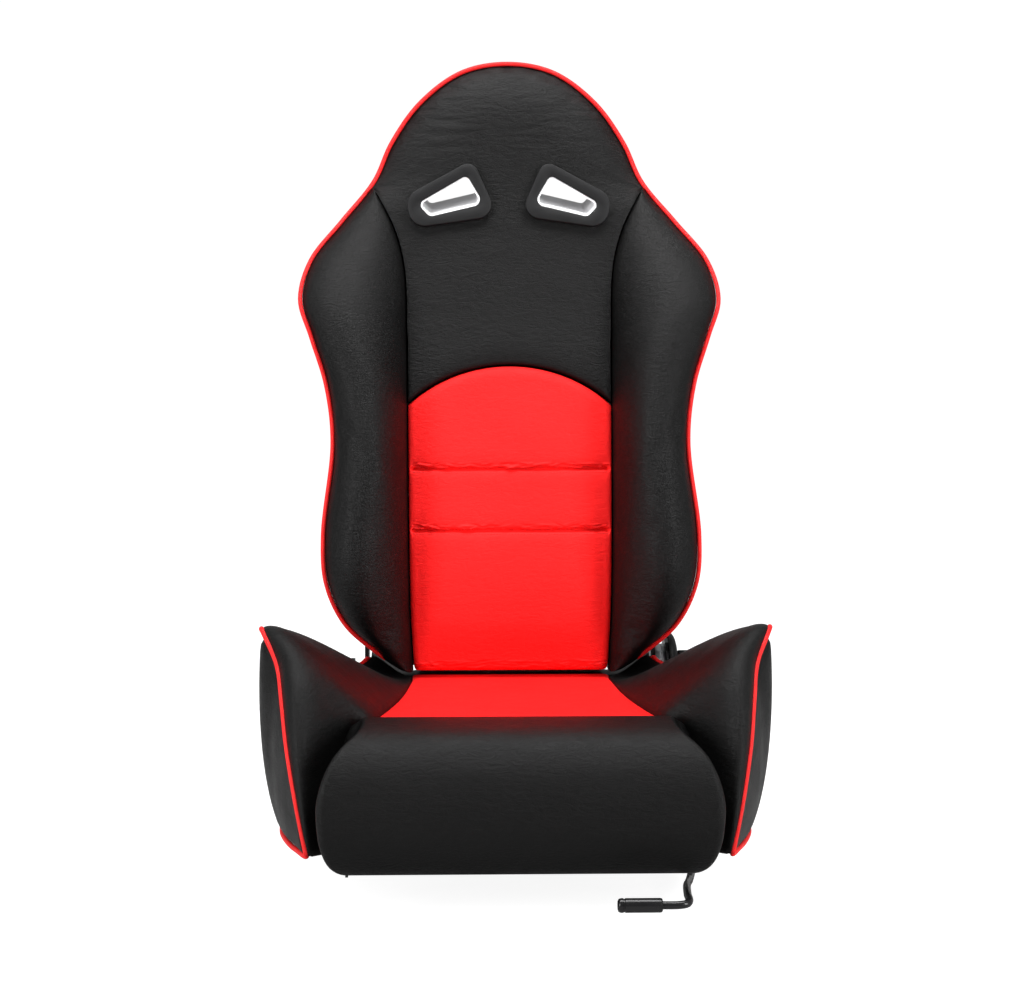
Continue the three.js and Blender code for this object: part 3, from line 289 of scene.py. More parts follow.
def leather(name, colour, rough, specular, crease=0.3, cell=900.0):
    """Synthetic leather: small pebbles, fine creases between them and soft wrinkles where it is stretched."""
    mat = material(name, colour, rough, specular=specular)
    where = place(mat)
    warp = node(mat, "ShaderNodeTexNoise", {"Vector": where, "Scale": 260.0, "Detail": 2.0})
    bent = node(mat, "ShaderNodeVectorMath", {0: warp.outputs["Color"], 1: (0.0016, 0.0016, 0.0016),
                                              2: where},
                operation="MULTIPLY_ADD")
    pebble = node(mat, "ShaderNodeTexVoronoi", {"Vector": bent.outputs["Vector"], "Scale": cell,
                                                "Randomness": 0.9},
                  feature="DISTANCE_TO_EDGE")
    pebble_height = node(mat, "ShaderNodeMapRange", {"Value": pebble.outputs["Distance"], "From Max": 0.22})
    long = node(mat, "ShaderNodeMapping", {"Vector": where, "Scale": (1.0, 1.0, 2.6)})
    wrinkle = vary(mat, long.outputs["Vector"], 75.0, 0.0, 1.0, 6.0, 1.4)
    soft = vary(mat, where, 16.0, 0.0, 1.0, 2.0, 0.4)
    relief(mat, (soft, 0.004, crease * 0.35), (wrinkle, 0.0012, crease),
           (pebble_height.outputs["Result"], 0.00025, 0.55))
    roughness = vary(mat, where, 30.0, rough - 0.06, rough + 0.07)
    mat.node_tree.links.new(roughness, mat.node_tree.nodes["Principled BSDF"].inputs["Roughness"])
    tint(mat, colour, vary(mat, where, 9.0, 0.88, 1.12))
    return mat


black_leather = leather("black_leather", (0.0027, 0.0026, 0.0026), 0.38, 0.16, 0.36)
wing = piece("backrest_bolster_pad_right", points, faces, black_leather, "backrest",
             ("backrest_bolster_right",))


def coordinates(obj):
    flat = np.empty(len(obj.data.vertices) * 3)
    obj.data.vertices.foreach_get("co", flat)
    return flat.reshape(-1, 3)


def inflate(obj, held, most, pressure=4.0):
    """Swells a closed pad like a filled cover: held vertices and its lower edge stay, and the rest move up to
    about most metres."""
    rest = coordinates(obj)
    group = obj.vertex_groups.new(name="held")
    group.add([int(i) for i in held], 1.0, "REPLACE")
    cloth = obj.modifiers.new("cloth", "CLOTH")
    cloth.settings.vertex_group_mass = "held"
    cloth.settings.quality = 4
    cloth.settings.use_pressure = True
    cloth.settings.uniform_pressure_force = pressure
    cloth.settings.effector_weights.gravity = 0
    cloth.collision_settings.use_collision = False
    cloth.point_cache.frame_start, cloth.point_cache.frame_end = 1, 20
    for f in range(1, 21):
        scene.frame_set(f)
    swollen = obj.evaluated_get(bpy.context.evaluated_depsgraph_get()).to_mesh()
    flat = np.empty(len(swollen.vertices) * 3)
    swollen.vertices.foreach_get("co", flat)
    obj.modifiers.clear()
    obj.vertex_groups.clear()
    scene.frame_set(1)
    moved = (flat.reshape(-1, 3) - rest) * step(rest[:, 2:], 0.215, 0.265)
    far = np.maximum(np.linalg.norm(moved, axis=1), 1e-9)[:, None]
    obj.data.vertices.foreach_set("co", (rest + moved / far * most * np.tanh(far / most)).ravel())
    obj.data.update()


WING_SWELL, HEAD_SWELL = 0.006, 0.003
inflate(wing, np.r_[ring, wing_x.size:2 * wing_x.size], WING_SWELL)


def applied(obj):
    """Bakes the modifiers of obj into its mesh."""
    seen = obj.evaluated_get(bpy.context.evaluated_depsgraph_get())
    mesh = bpy.data.meshes.new_from_object(seen)
    obj.modifiers.clear()
    obj.data = mesh


def refined(obj, levels=1):
    smooth = obj.modifiers.new("smooth", "SUBSURF")
    smooth.levels = smooth.render_levels = levels
    applied(obj)


refined(wing, 1)


def mirrored(obj, name, body, nodes=()):
    mesh = obj.data.copy()
    for v in mesh.vertices:
        v.co.x = -v.co.x
    mesh.flip_normals()
    copy = bpy.data.objects.new(name, mesh)
    scene.collection.objects.link(copy)
    settle(copy, body, nodes)
    return copy


wing_left = mirrored(wing, "backrest_bolster_pad_left", "backrest",
                     ("backrest_bolster_left",))


# Head and shoulder panel: black leather over foam, from the crown down to the arched seam above the red
# panel. The head is dished, and fine creases run across its top, where the cover is pulled over the edge.
arc_half = float(seam_x(RED_ARC_SIDE))
arc_rise = RED_ARC_TOP - RED_ARC_SIDE
arc_radius = (arc_half**2 + arc_rise**2) / (2 * arc_rise)
HEAD_COLUMNS = 61
columns = np.sin(np.linspace(-1, 1, HEAD_COLUMNS) * math.pi / 2)
panel_rows = []


def arc_z(x):
    return RED_ARC_TOP - arc_radius + np.sqrt(np.maximum(0, arc_radius**2 - x**2))


for share in np.linspace(0, 1, 9):
    x = columns * (arc_half - SEAM_GAP)
    panel_rows.append((x, (arc_z(x) + 0.8) * (1 - share) + 606 * share))
for z in np.linspace(612, WING_TOP - 4, 27):
    panel_rows.append((columns * (seam_x(z) - SEAM_GAP), np.full(HEAD_COLUMNS, z)))
head_edge = pad_edge[pad_edge[:, 1] > WING_TOP - 1]
for x, z in spaced(head_edge, 90):
    panel_rows.append((columns * max(x, 1.5), np.full(HEAD_COLUMNS, z)))
panel_x = np.array([r[0] for r in panel_rows])
panel_z = np.array([r[1] for r in panel_rows])


def outline_distance(x, z):
    """Distance from points of the backrest's front to its outline."""
    points = np.column_stack([np.abs(np.ravel(x)), np.ravel(z)])
    line = fine_outline[::3]
    best = np.full(len(points), 1e9)
    for a, b in zip(line[:-1], line[1:]):
        d = b - a
        t = np.clip((points - a) @ d / (d @ d), 0, 1)
        best = np.minimum(best, np.linalg.norm(points - a - t[:, None] * d, axis=1))
    return best.reshape(np.shape(x))


rim_distance = outline_distance(panel_x, panel_z) - PAD_EDGE
to_seam = np.where(panel_z < WING_TOP, seam_x(panel_z) - np.abs(panel_x), 99)
to_arc = panel_z - arc_z(np.clip(panel_x, -arc_half, arc_half))
rim = np.clip(1 - rim_distance / 62, 0, 1)
panel_y = (spine_y(panel_z) + (piping_y(panel_z) - 1 - spine_y(panel_z)) * rim**2.1 * step(panel_z, 700,
                                                                                           792)
           + 2.6 * quarter(to_seam, 6) + 6 * quarter(to_arc, 13)
           + 3 * quarter(rim_distance, 6) * step(panel_z, 780, 800))
for _ in range(150):
    at, up, long = rng.uniform(-120, 120), rng.uniform(830, 925), rng.uniform(8, 22)
    lean, rise = rng.normal(0, 0.12), rng.uniform(0.15, 0.5) * rng.choice((-1, 1))
    panel_y += rise * np.exp(-((panel_x - at) / long) ** 2
                             - ((panel_z - up - lean * (panel_x - at)) / 2.2) ** 2)
points, faces, ring = slab(stacked(panel_x, panel_y, panel_z),
                           stacked(panel_x, back_plane(panel_z), panel_z))
panel = piece("head_and_shoulder_panel", points, faces, black_leather, "backrest",
              ("backrest_panel",))
inflate(panel, np.r_[ring, panel_x.size:2 * panel_x.size], HEAD_SWELL)
refined(panel, 1)


# Harness slots: openings with round corners that rise towards the rear through the whole backrest.
# Each has a flat moulded bezel in front, and a pale plastic sleeve that ends in a flange on the rear cover.
BEZEL = [(44, 821), (13, 751), (118, 736), (127, 775)]
BEZEL_CORNERS = (13, 18, 20, 20)
SLOT = [(52, 800), (34, 771), (96, 757), (108, 769)]
SLOT_CORNERS = (4, 6, 6, 4)
SLOT_Z = 772
SLOT_RISE = math.radians(8)
HEAD_LEAN = math.radians(-11)
SLEEVE_WALL = 2.2
BEZEL_FRONT, BEZEL_BACK = -11, -7
SLEEVE_END = PAD_DEPTH + COVER_BACK + 1.5


def loft(loops, closed_ends=True):
    """Points and faces through closed loops of points."""
    loops = np.asarray(loops, float)
    rows, columns = loops.shape[:2]
    points = loops.reshape(-1, 3)
    faces = grid_faces(rows, columns, close_columns=True)
    if closed_ends:
        points = np.vstack([points, loops[0].mean(axis=0), loops[-1].mean(axis=0)])
        for j in range(columns):
            k = (j + 1) % columns
            faces.append((len(points) - 2, k, j))
            faces.append((len(points) - 1, (rows - 1) * columns + j, (rows - 1) * columns + k))
    return points, faces


def rounded(corners, radii, grow=0.0, count=96):
    """The outline of a plate with round corners, grown all round."""
    corners = np.array(corners, float)
    line = []
    for i, (corner, radius) in enumerate(zip(corners, radii)):
        before, after = corners[i - 1] - corner, corners[(i + 1) % len(corners)] - corner
        before, after = before / np.linalg.norm(before), after / np.linalg.norm(after)
        middle = (before + after) / np.linalg.norm(before + after)
        centre = corner + middle * radius / math.sin(math.acos(np.clip(before @ after, -1, 1)) / 2)
        first, last = (corner + d * ((centre - corner) @ d) - centre for d in (before, after))
        for u in np.linspace(0, 1, 14):
            way = first * (1 - u) + last * u
            line.append(centre + way / np.linalg.norm(way) * (radius + grow))
    return spaced(line + [line[0]], count + 1)[:-1]


def leaning(loop, depth, angle):
    """A loop of (x, z) at a depth behind the head's face, tilted about the slots' middle height."""
    up = loop[:, 1] - SLOT_Z
    return stacked(loop[:, 0], depth * math.cos(angle) - up * math.sin(angle) + spine_y(SLOT_Z),
                   depth * math.sin(angle) + up * math.cos(angle) + SLOT_Z)


def tunnel(loop, depth):
    """Where the rising slot with this outline crosses the leaning plane at this depth."""
    up = loop[:, 1] - SLOT_Z
    reach = (depth + up * math.sin(SLOT_RISE - HEAD_LEAN)) / math.cos(SLOT_RISE - HEAD_LEAN)
    return leaning(loop, reach, SLOT_RISE)


def slot_cutter(grow, side):
    loop = rounded(SLOT, SLOT_CORNERS, grow)
    points, faces = loft([tunnel(loop, -60), tunnel(loop, 160)])
    mesh = bpy.data.meshes.new("cutter")
    mesh.from_pydata((metres(points) * (side, 1, 1)).tolist(), [], [list(f) for f in faces])
    bm = bmesh.new()
    bm.from_mesh(mesh)
    bmesh.ops.recalc_face_normals(bm, faces=bm.faces)
    bm.to_mesh(mesh)
    bm.free()
    cutter = bpy.data.objects.new("cutter", mesh)
    scene.collection.objects.link(cutter)
    return cutter


def pierced(obj, cutters):
    for cutter in cutters:
        cut = obj.modifiers.new("slot", "BOOLEAN")
        cut.operation, cut.solver, cut.object = "DIFFERENCE", "EXACT", cutter
    applied(obj)
    for cutter in cutters:
        bpy.data.objects.remove(cutter)


pierced(panel, [slot_cutter(SLEEVE_WALL + 1, side) for side in (1, -1)])
outer, opening = rounded(BEZEL, BEZEL_CORNERS), rounded(SLOT, SLOT_CORNERS, SLEEVE_WALL + 0.4)
soft_outer, soft_opening = rounded(BEZEL, BEZEL_CORNERS, -0.9), rounded(SLOT, SLOT_CORNERS,
                                                                        SLEEVE_WALL + 0.9)


def ring_loft(rings):
    points = np.vstack(rings)
    return points, grid_faces(len(rings), len(rings[0]), close_rows=True, close_columns=True)


bezel_points, bezel_faces = ring_loft([
    leaning(outer, BEZEL_BACK + 5, HEAD_LEAN), leaning(outer, BEZEL_FRONT + 1.0, HEAD_LEAN),
    leaning(rounded(BEZEL, BEZEL_CORNERS, -0.3), BEZEL_FRONT + 0.3, HEAD_LEAN),
    leaning(soft_outer, BEZEL_FRONT, HEAD_LEAN), tunnel(soft_opening, BEZEL_FRONT),
    tunnel(rounded(SLOT, SLOT_CORNERS, SLEEVE_WALL + 0.5), BEZEL_FRONT + 0.3),
    tunnel(opening, BEZEL_FRONT + 1.2), tunnel(opening, BEZEL_BACK + 5),
])


def moulded(name, colour, rough, grain=0.35, specular=0.45):
    """Moulded plastic with a fine spark-eroded texture."""
    mat = material(name, colour, rough, specular=specular)
    where = place(mat)
    relief(mat, (vary(mat, where, 1500.0, 0.0, 1.0, 3.0), 0.0002, grain))
    mat.node_tree.links.new(vary(mat, where, 60.0, rough - 0.05, rough + 0.06),
                            mat.node_tree.nodes["Principled BSDF"].inputs["Roughness"])
    tint(mat, colour, vary(mat, where, 30.0, 0.93, 1.07))
    return mat


grey_plastic = moulded("grey_plastic", (0.010, 0.010, 0.0105), 0.5, 0.4, 0.22)
bezel = piece("harness_bezel_ring_right", bezel_points, bezel_faces, grey_plastic, "backrest",
              ("harness_bezel_right",), sharp=50)
mirrored(bezel, "harness_bezel_ring_left", "backrest", ("harness_bezel_left",))
bore, wall = rounded(SLOT, SLOT_CORNERS), rounded(SLOT, SLOT_CORNERS, SLEEVE_WALL)
REAR_FLANGE = [(x, z + 11) for x, z in BEZEL]
flange, soft_flange = rounded(REAR_FLANGE, BEZEL_CORNERS), rounded(REAR_FLANGE, BEZEL_CORNERS, -1.2)
sleeve_points, sleeve_faces = ring_loft([
    tunnel(bore, BEZEL_FRONT + 1.4), tunnel(bore, 10), tunnel(bore, 40), tunnel(bore, SLEEVE_END + 2),
    tunnel(wall, SLEEVE_END + 3), leaning(soft_flange, SLEEVE_END + 3, HEAD_LEAN),
    leaning(flange, SLEEVE_END + 1.8, HEAD_LEAN), leaning(flange, SLEEVE_END, HEAD_LEAN),
    tunnel(wall, SLEEVE_END), tunnel(wall, 20), tunnel(wall, BEZEL_FRONT + 0.9),
])
pale_plastic = moulded("pale_plastic", (0.8, 0.8, 0.81), 0.35, 0.15)
sleeve = piece("harness_sleeve_tube_right", sleeve_points, sleeve_faces, pale_plastic, "backrest",
               ("harness_sleeve_right",), sharp=40)
mirrored(sleeve, "harness_sleeve_tube_left", "backrest", ("harness_sleeve_left",))


# Red back panel: red leather on thin foam, with an arched top seam and two rows of stitching across it.
# The cover is gathered just above each row, and along its bottom edge, which rolls under.
CHANNELS = (449, 376)
dense = np.array(CHANNELS + (RED_BOTTOM + 8,))
levels = [float(RED_BOTTOM)]
while levels[-1] < 470:
    near = np.min(np.abs(dense - levels[-1]))
    levels.append(levels[-1] + (0.85 if near < 13 else 2.6))
levels = np.array(levels)[:, None]
columns_fine = np.sin(np.linspace(-1, 1, 201) * math.pi / 2 * 0.8) / math.sin(math.pi / 2 * 0.8)
red_top = arc_z(columns_fine * (arc_half - SEAM_GAP)) - 0.6
share = np.linspace(0, 1, 54)[1:, None]
red_z = np.vstack([np.broadcast_to(levels, (len(levels), len(columns_fine))),
                   levels[-1] * (1 - share) + red_top * share])
corner = 3.5 * quarter(red_z - RED_BOTTOM, 9)
red_x = columns_fine * (seam_x(red_z) - SEAM_GAP - corner)
side_gap = seam_x(red_z) - SEAM_GAP - corner - np.abs(red_x)
red_y = (spine_y(red_z) - 6 * step(side_gap, 0, 45) * step(red_z, RED_BOTTOM, 270)
         + 5 * quarter(side_gap, 8) + 9 * quarter(red_z - RED_BOTTOM, 14)
         + 7 * quarter(red_top - red_z, 11))


def gathers(x, z, low, high, count, tall):
    """Fine creases that run along a sewn line, between two heights above it."""
    total = np.zeros_like(x)
    for _ in range(count):
        at, up, tilt = rng.uniform(-arc_half, arc_half), rng.uniform(0, 1) ** 1.5, rng.normal(0, 0.16)
        middle, long, wide = low + (high - low) * up, rng.uniform(2.5, 8), rng.uniform(0.55, 1.0)
        rise = rng.uniform(0.3, 1.0) * tall * rng.choice((-1, 1))
        total += rise * np.exp(-((x - at) / long) ** 2 - ((z - middle - tilt * (x - at)) / wide) ** 2)
    return total


for line in CHANNELS:
    short_of_side = step(side_gap, 1, 6)
    above = red_z - line
    red_y += short_of_side * (4.5 * np.exp(-(above / 1.5) ** 2)
                              + 4.6 * np.exp(-np.abs(above) / np.where(above > 0, 6, 4)))
    red_y += gathers(red_x, red_z, line + 1.5, line + 7, 280, 1.5) * step(side_gap, 1, 6)
red_y += gathers(red_x, red_z, RED_BOTTOM + 3, RED_BOTTOM + 13, 300, 1.0)
full_x = columns_fine * (seam_x(red_z) - SEAM_GAP)
points, faces, ring = slab(stacked(red_x, red_y, red_z), stacked(full_x, back_plane(red_z), red_z))
red_leather = leather("red_leather", (0.9, 0.014, 0.014), 0.5, 0.1, 0.35)
red_panel = piece("backrest_red_pad", points, faces, red_leather, "backrest",
                  ("backrest_red_panel",))


# Rear cover: black woven cloth stretched over a deep tray with rounded sides, from the piping to the rear.
# A pressed line follows the outline, and the harness sleeves come out through two openings.
cover_edge = spaced(np.vstack([[(127, 206)], inset(5)]), 114)
cover_columns = np.sin(np.linspace(-1, 1, 61) * math.pi / 2)
cover_x = cover_columns * np.maximum(cover_edge[:, :1], 1.5)
cover_z = np.broadcast_to(cover_edge[:, 1:], cover_x.shape)
panel_line = 2.4 * np.exp(-((outline_distance(cover_x, cover_z) - 46) / 2.0) ** 2)


def cover_depth(inward):
    gap = np.clip((np.minimum(outline_distance(cover_x, cover_z) - 5,
                              (cover_z - cover_edge[0, 1]) + 4)) / 30 - inward / 30, 0, 1)
    return (COVER_BACK - inward) * (1 - (1 - gap) ** 3) ** (1 / 3)


cover_y = back_plane(cover_z) + 0.5 + cover_depth(0) - panel_line
points, faces, ring = slab(stacked(cover_x, cover_y, cover_z),
                           stacked(cover_x * 0.985, back_plane(cover_z) + cover_depth(3), cover_z))


def weave(name, colour):
    """Black cloth with a fine plain weave, its raised crossings painted lighter and its hollows painted
    darker as painted shade.
    """
    mat = material(name, colour, 0.85, specular=0.25)
    where = place(mat)
    across = node(mat, "ShaderNodeTexWave", {"Vector": where, "Scale": 300.0, "Distortion": 0.6,
                                             "Detail": 1.0},
                  bands_direction="X")
    along = node(mat, "ShaderNodeTexWave", {"Vector": where, "Scale": 300.0, "Distortion": 0.6,
                                            "Detail": 1.0},
                 bands_direction="Z")
    cross = node(mat, "ShaderNodeMath", {0: across.outputs["Fac"], 1: along.outputs["Fac"]},
                 operation="MULTIPLY")
    relief(mat, (vary(mat, where, 22.0, 0.0, 1.0), 0.003, 0.2), (cross.outputs["Value"], 0.0004, 0.6))
    # Painted shade: the colour is made lighter on the weave's raised crossings and darker in its hollows,
    # following the same height as the bump. The random tone on top of it is the cloth's own.
    painted_weave_shade = node(mat, "ShaderNodeMapRange", {"Value": cross.outputs["Value"], "To Min": 0.85,
                                              "To Max": 1.35})
    tone_and_painted_weave_shade = node(mat, "ShaderNodeMath", {0: vary(mat, where, 40.0, 0.8, 1.25), 1: painted_weave_shade.outputs["Result"]},
                 operation="MULTIPLY")
    tint(mat, colour, tone_and_painted_weave_shade.outputs["Value"])
    return mat


back_cloth = weave("black_cloth", (0.02, 0.02, 0.0207))
rear_cover = piece("rear_cover", points, faces, back_cloth, "backrest",
                   ("backrest_rear_cover",))
pierced(rear_cover, [slot_cutter(SLEEVE_WALL + 1, side) for side in (1, -1)])


# Backrest piping: a cord wrapped in red leather, sewn in round the outline between the pads and the rear
# cover. Both ends are tucked in behind the bolsters, just above the cushion.
half = inset(PIPING_R + 0.2, 150)
half = half[half[:, 1] > 225]
half = np.column_stack([half[:, 0], piping_y(half[:, 1]) - 0.3, half[:, 1]])
half = np.vstack([half[0] + (-7, 14, -1), half[0] + (-3.5, 5, -1.5), half])
loop = np.vstack([half, (half[-2::-1] * (-1, 1, 1))])


def tube(path, radius, sides=14, closed=False, flat=1.0):
    """Points and faces of a round bar along a path."""
    path = np.asarray(path, float)
    ahead = np.roll(path, -1, axis=0) - np.roll(path, 1, axis=0)
    if not closed:
        ahead[0], ahead[-1] = path[1] - path[0], path[-1] - path[-2]
    ahead /= np.linalg.norm(ahead, axis=1)[:, None]
    side = np.cross(ahead[0], (0.31, 0.52, 0.79))
    frames = []
    for t in ahead:
        side = side - t * side.dot(t)
        side /= np.linalg.norm(side)
        frames.append(side)
    side = np.array(frames)
    up = np.cross(ahead, side)
    turn = np.linspace(0, 2 * math.pi, sides, endpoint=False)
    rings = (path[:, None] + radius * (np.cos(turn)[None, :, None] * side[:, None]
                                       + flat * np.sin(turn)[None, :, None] * up[:, None]))
    if closed:
        # The last ring meets the first one at its nearest points.
        last = rings[-1]
        best = min(range(sides), key=lambda k: np.linalg.norm(np.roll(last, -k, axis=0) - rings[0]))
        faces = grid_faces(len(path), sides, close_columns=True)
        tail = (len(path) - 1) * sides
        for j in range(sides):
            k = (j + 1) % sides
            faces.append((tail + (j + best) % sides, tail + (k + best) % sides, k, j))
        return rings.reshape(-1, 3), faces
    return loft(rings)


points, faces = tube(loop, PIPING_R, 14)
piping_leather = leather("red_piping", (0.9, 0.014, 0.015), 0.42, 0.25, 0.12, 1300.0)
piece("backrest_piping_cord", points, faces, piping_leather, "backrest", ("backrest_piping",))


# Hem of the rear cover: the lower edge of the same black cloth, rolled over a thin cord and sewn down. It
# runs from one side of the cover to the other, above the cushion's tail.
HEM_R = 2.2
hem_path = np.column_stack([cover_x[0], cover_y[0] - 1.6, cover_z[0] + 0.4])
points, faces = tube(spaced(hem_path, 90), HEM_R, 12)
piece("rear_cover_hem", points, faces, back_cloth, "backrest")


# Front roll: the cushion's thick front edge, one piece of black leather round foam, closed by a flat panel
# at each end. The section is the same all along, and its length changes with height.
ROLL = [
    (111, 205), (70, 206.5), (32, 197), (8, 170), (0, 124), (5, 82), (24, 54), (66, 43), (116, 44),
    (122, 120), (116, 196),
]
ROLL_HALF = 220
ROLL_CORE = np.array((80, 123))
roll_reach = table([
    (43, 186), (50, 198), (60, 206.5), (80, 213.5), (105, 216.5), (130, 217), (150, 213.5), (168, 207.5),
    (182, 200), (194, 189), (201, 179), (207, 171),
])
section = spaced(spline(ROLL[-2:] + ROLL + ROLL[:3], np.linspace(2 / 15, 13 / 15, 900)), 97)[:-1]
reach = roll_reach(section[:, 1])
outward = section - ROLL_CORE
outward /= np.linalg.norm(outward, axis=1)[:, None]
loops = []
for s in np.r_[-1, np.linspace(-0.995, -0.95, 9), np.linspace(-0.93, 0.93, 81), np.linspace(0.95, 0.995, 9),
               1]:
    ring = section - outward * 7 * quarter((1 - abs(s)) * ROLL_HALF, 9)
    loops.append(np.column_stack([s * reach, ring]))
points, faces = loft(loops)
roll = piece("front_roll_pad", points, faces, black_leather, "seat_base",
             ("cushion_front_roll",))


# Cushion bolsters: a high wing on each side, with black leather from the piping down to the red panel,
# and a separate side cover inside the loop of piping. Five lines along the wing shape it, at matching
# stations.
RIM = [
    (229, 42, 69), (239, 46, 120), (251, 72, 183), (258, 103, 233), (264, 130, 261), (282, 165, 293),
    (284, 215, 283), (275, 275, 265), (256, 330, 240), (231, 368, 222), (207, 384, 213), (184, 398, 214),
    (169, 414, 222),
]
HEM = [
    (229, 48, 66), (233, 62, 64), (240, 85, 63), (248, 110, 62), (255, 135, 62), (262, 170, 62),
    (265, 215, 62), (261, 275, 62), (247, 328, 63), (226, 362, 66), (205, 379, 74), (184, 391, 84),
    (171, 404, 92),
]
INNER = [
    (200, 100, 66), (196, 104, 104), (190, 110, 158), (180, 117, 192), (169, 121, 201), (161, 127, 202),
    (144, 190, 202), (134, 245, 201), (127, 300, 200), (123, 345, 199), (121, 368, 199), (120, 384, 199),
    (120, 400, 199),
]
CREST = [
    (226, 34, 68), (232, 24, 120), (240, 38, 192), (246, 66, 250), (253, 100, 284), (268, 150, 309),
    (270, 210, 306), (260, 275, 293), (240, 330, 272), (215, 364, 246), (192, 381, 225), (174, 396, 221),
    (160, 412, 228),
]
HOLLOW = [
    (212, 48, 68), (216, 46, 114), (218, 60, 184), (218, 82, 240), (217, 108, 266), (215, 150, 278),
    (209, 205, 269), (197, 260, 254), (181, 310, 234), (166, 350, 215), (152, 372, 202), (147, 388, 202),
    (143, 402, 205),
]
HEM_SWELL = 20
stations = np.linspace(0, 1, 71)
rim_line, hem_line, inner_line, crest_line, hollow_line = (spline(c, stations)
                                                           for c in (RIM, HEM, INNER, CREST, HOLLOW))
turn_in = 1.1 * step(stations, 0.75, 1)
outwards = np.column_stack([np.cos(turn_in), np.sin(turn_in), np.zeros_like(turn_in)])
bulge = (HEM_SWELL * step(stations, 0, 0.3) * (1 - 0.7 * step(stations, 0.6, 1)))[:, None]
top_shares = np.r_[0.02, 0.045, 0.08, np.linspace(0.12, 0.97, 22), 1.0]


def bezier(a, b, c, d, w):
    return a * (1 - w) ** 3 + 3 * b * w * (1 - w) ** 2 + 3 * c * w**2 * (1 - w) + d * w**3


def bolster_top(w):
    return bezier(rim_line, crest_line, hollow_line, inner_line, w)


top_rows = [bolster_top(w) for w in top_shares]
under = inner_line.copy()
under[:, 2] = np.minimum(84, inner_line[:, 2] - 4)
hem_in = hem_line - outwards * (CUSHION_PIPING_R + 2.4)
middle = (under + hem_in) / 2
middle[:, 2] = under[:, 2]


def bolster_side(w):
    high = rim_line * 0.65 + hem_line * 0.35 + outwards * bulge * 0.75
    low = rim_line * 0.2 + hem_line * 0.8 + outwards * bulge
    return bezier(rim_line, high, low, hem_line, w)


side_rows = [bolster_side(w) - outwards * 5.5 for w in (0.86, 0.7, 0.5, 0.3, 0.12)]
rim_in = rim_line - outwards * (CUSHION_PIPING_R + 0.6) + (0, 0, -1.0)
loops = np.stack([rim_in] + top_rows + [under, middle, hem_in] + side_rows, axis=1)
points, faces = loft(loops)
bolster = piece("cushion_bolster_pad_right", points, faces, black_leather, "seat_base",
                ("cushion_bolster_right",))
bolster_left = mirrored(bolster, "cushion_bolster_pad_left", "seat_base",
                        ("cushion_bolster_left",))
shown = slice(5, 66)
side_shares = np.r_[0.05, 0.07, 0.1, np.linspace(0.15, 0.85, 15), 0.9, 0.93, 0.95]
edge_fall = 3.0 * (quarter((side_shares - 0.05) * 200, 9) + quarter((0.95 - side_shares) * 200, 9))
face = np.stack([(bolster_side(w) - outwards * fall)[shown] for w, fall in zip(side_shares, edge_fall)],
                axis=1)
points, faces, ring = slab(face, face - outwards[shown][:, None] * 2.4)
side_panel = piece("cushion_side_cover_right", points, faces, black_leather, "seat_base",
                   ("cushion_side_panel_right",))
mirrored(side_panel, "cushion_side_cover_left", "seat_base", ("cushion_side_panel_left",))
path = smooth_line(np.vstack([rim_line[::3], hem_line[-3::-3], rim_line[:1] + (0, 1, -1)]), 280)
points, faces = tube(path, CUSHION_PIPING_R, 14)
cord = piece("cushion_piping_cord_right", points, faces, piping_leather, "seat_base",
             ("cushion_piping_right",))
mirrored(cord, "cushion_piping_cord_left", "seat_base", ("cushion_piping_left",))


# Red seat panel: red leather over foam, sewn in between the two bolsters and behind the front roll. It is a
# little lower where the backrest's edge passes over it.
CUSHION_TOP, CUSHION_BOTTOM, SEAT_BACK = 202, 86, 436
by_y = np.argsort(inner_line[6:, 1])
seat_half = table(np.column_stack([inner_line[6:, 1], inner_line[6:, 0]])[by_y][::3])
y = np.linspace(119, 413, 110)[:, None]
x = np.sin(np.linspace(-1, 1, 61) * math.pi / 2) * (seat_half(y) - 1.2)
gap = seat_half(y) - 1.2 - np.abs(x)
y = np.broadcast_to(y, x.shape)


def seat_height(x, y):
    return (CUSHION_TOP - 1.5 - 4 * np.sin(math.pi * step(y, 110, 400)) * (1 - (x / 130) ** 2)
            - 1.3 * step(y, 370, 393) + 1.6 * step(y, 398, 412))


z = seat_height(x, y) - 3.0 * quarter(gap, 7) - 3.0 * quarter(y - 119, 7) - 2 * quarter(413 - y, 2.5)
points, faces, ring = slab(stacked(x, y, z), stacked(x, y, np.full_like(z, CUSHION_TOP - 30)))
seat_pad = piece("cushion_red_pad", points, faces, red_leather, "seat_base",
                 ("cushion_red_panel",))


# Cushion base: the block of foam under the red panel, in a bag of black cloth with soft edges. The seat
# springs carry it.
x = np.sin(np.linspace(-1, 1, 41) * math.pi / 2)
y = np.linspace(122, SEAT_BACK, 60)[:, None]
near_edge = np.minimum((1 - np.abs(x)) * 115, np.minimum(y - 122, SEAT_BACK - y))
bottom = CUSHION_BOTTOM + 12 * quarter(near_edge, 16)
x, y = x * (seat_half(y) - 3), np.broadcast_to(y, bottom.shape)
points, faces, ring = slab(stacked(x, y, bottom * 0 + CUSHION_TOP - 29.5), stacked(x, y, bottom))
base = piece("cushion_foam_bag", points, faces, back_cloth, "seat_base")
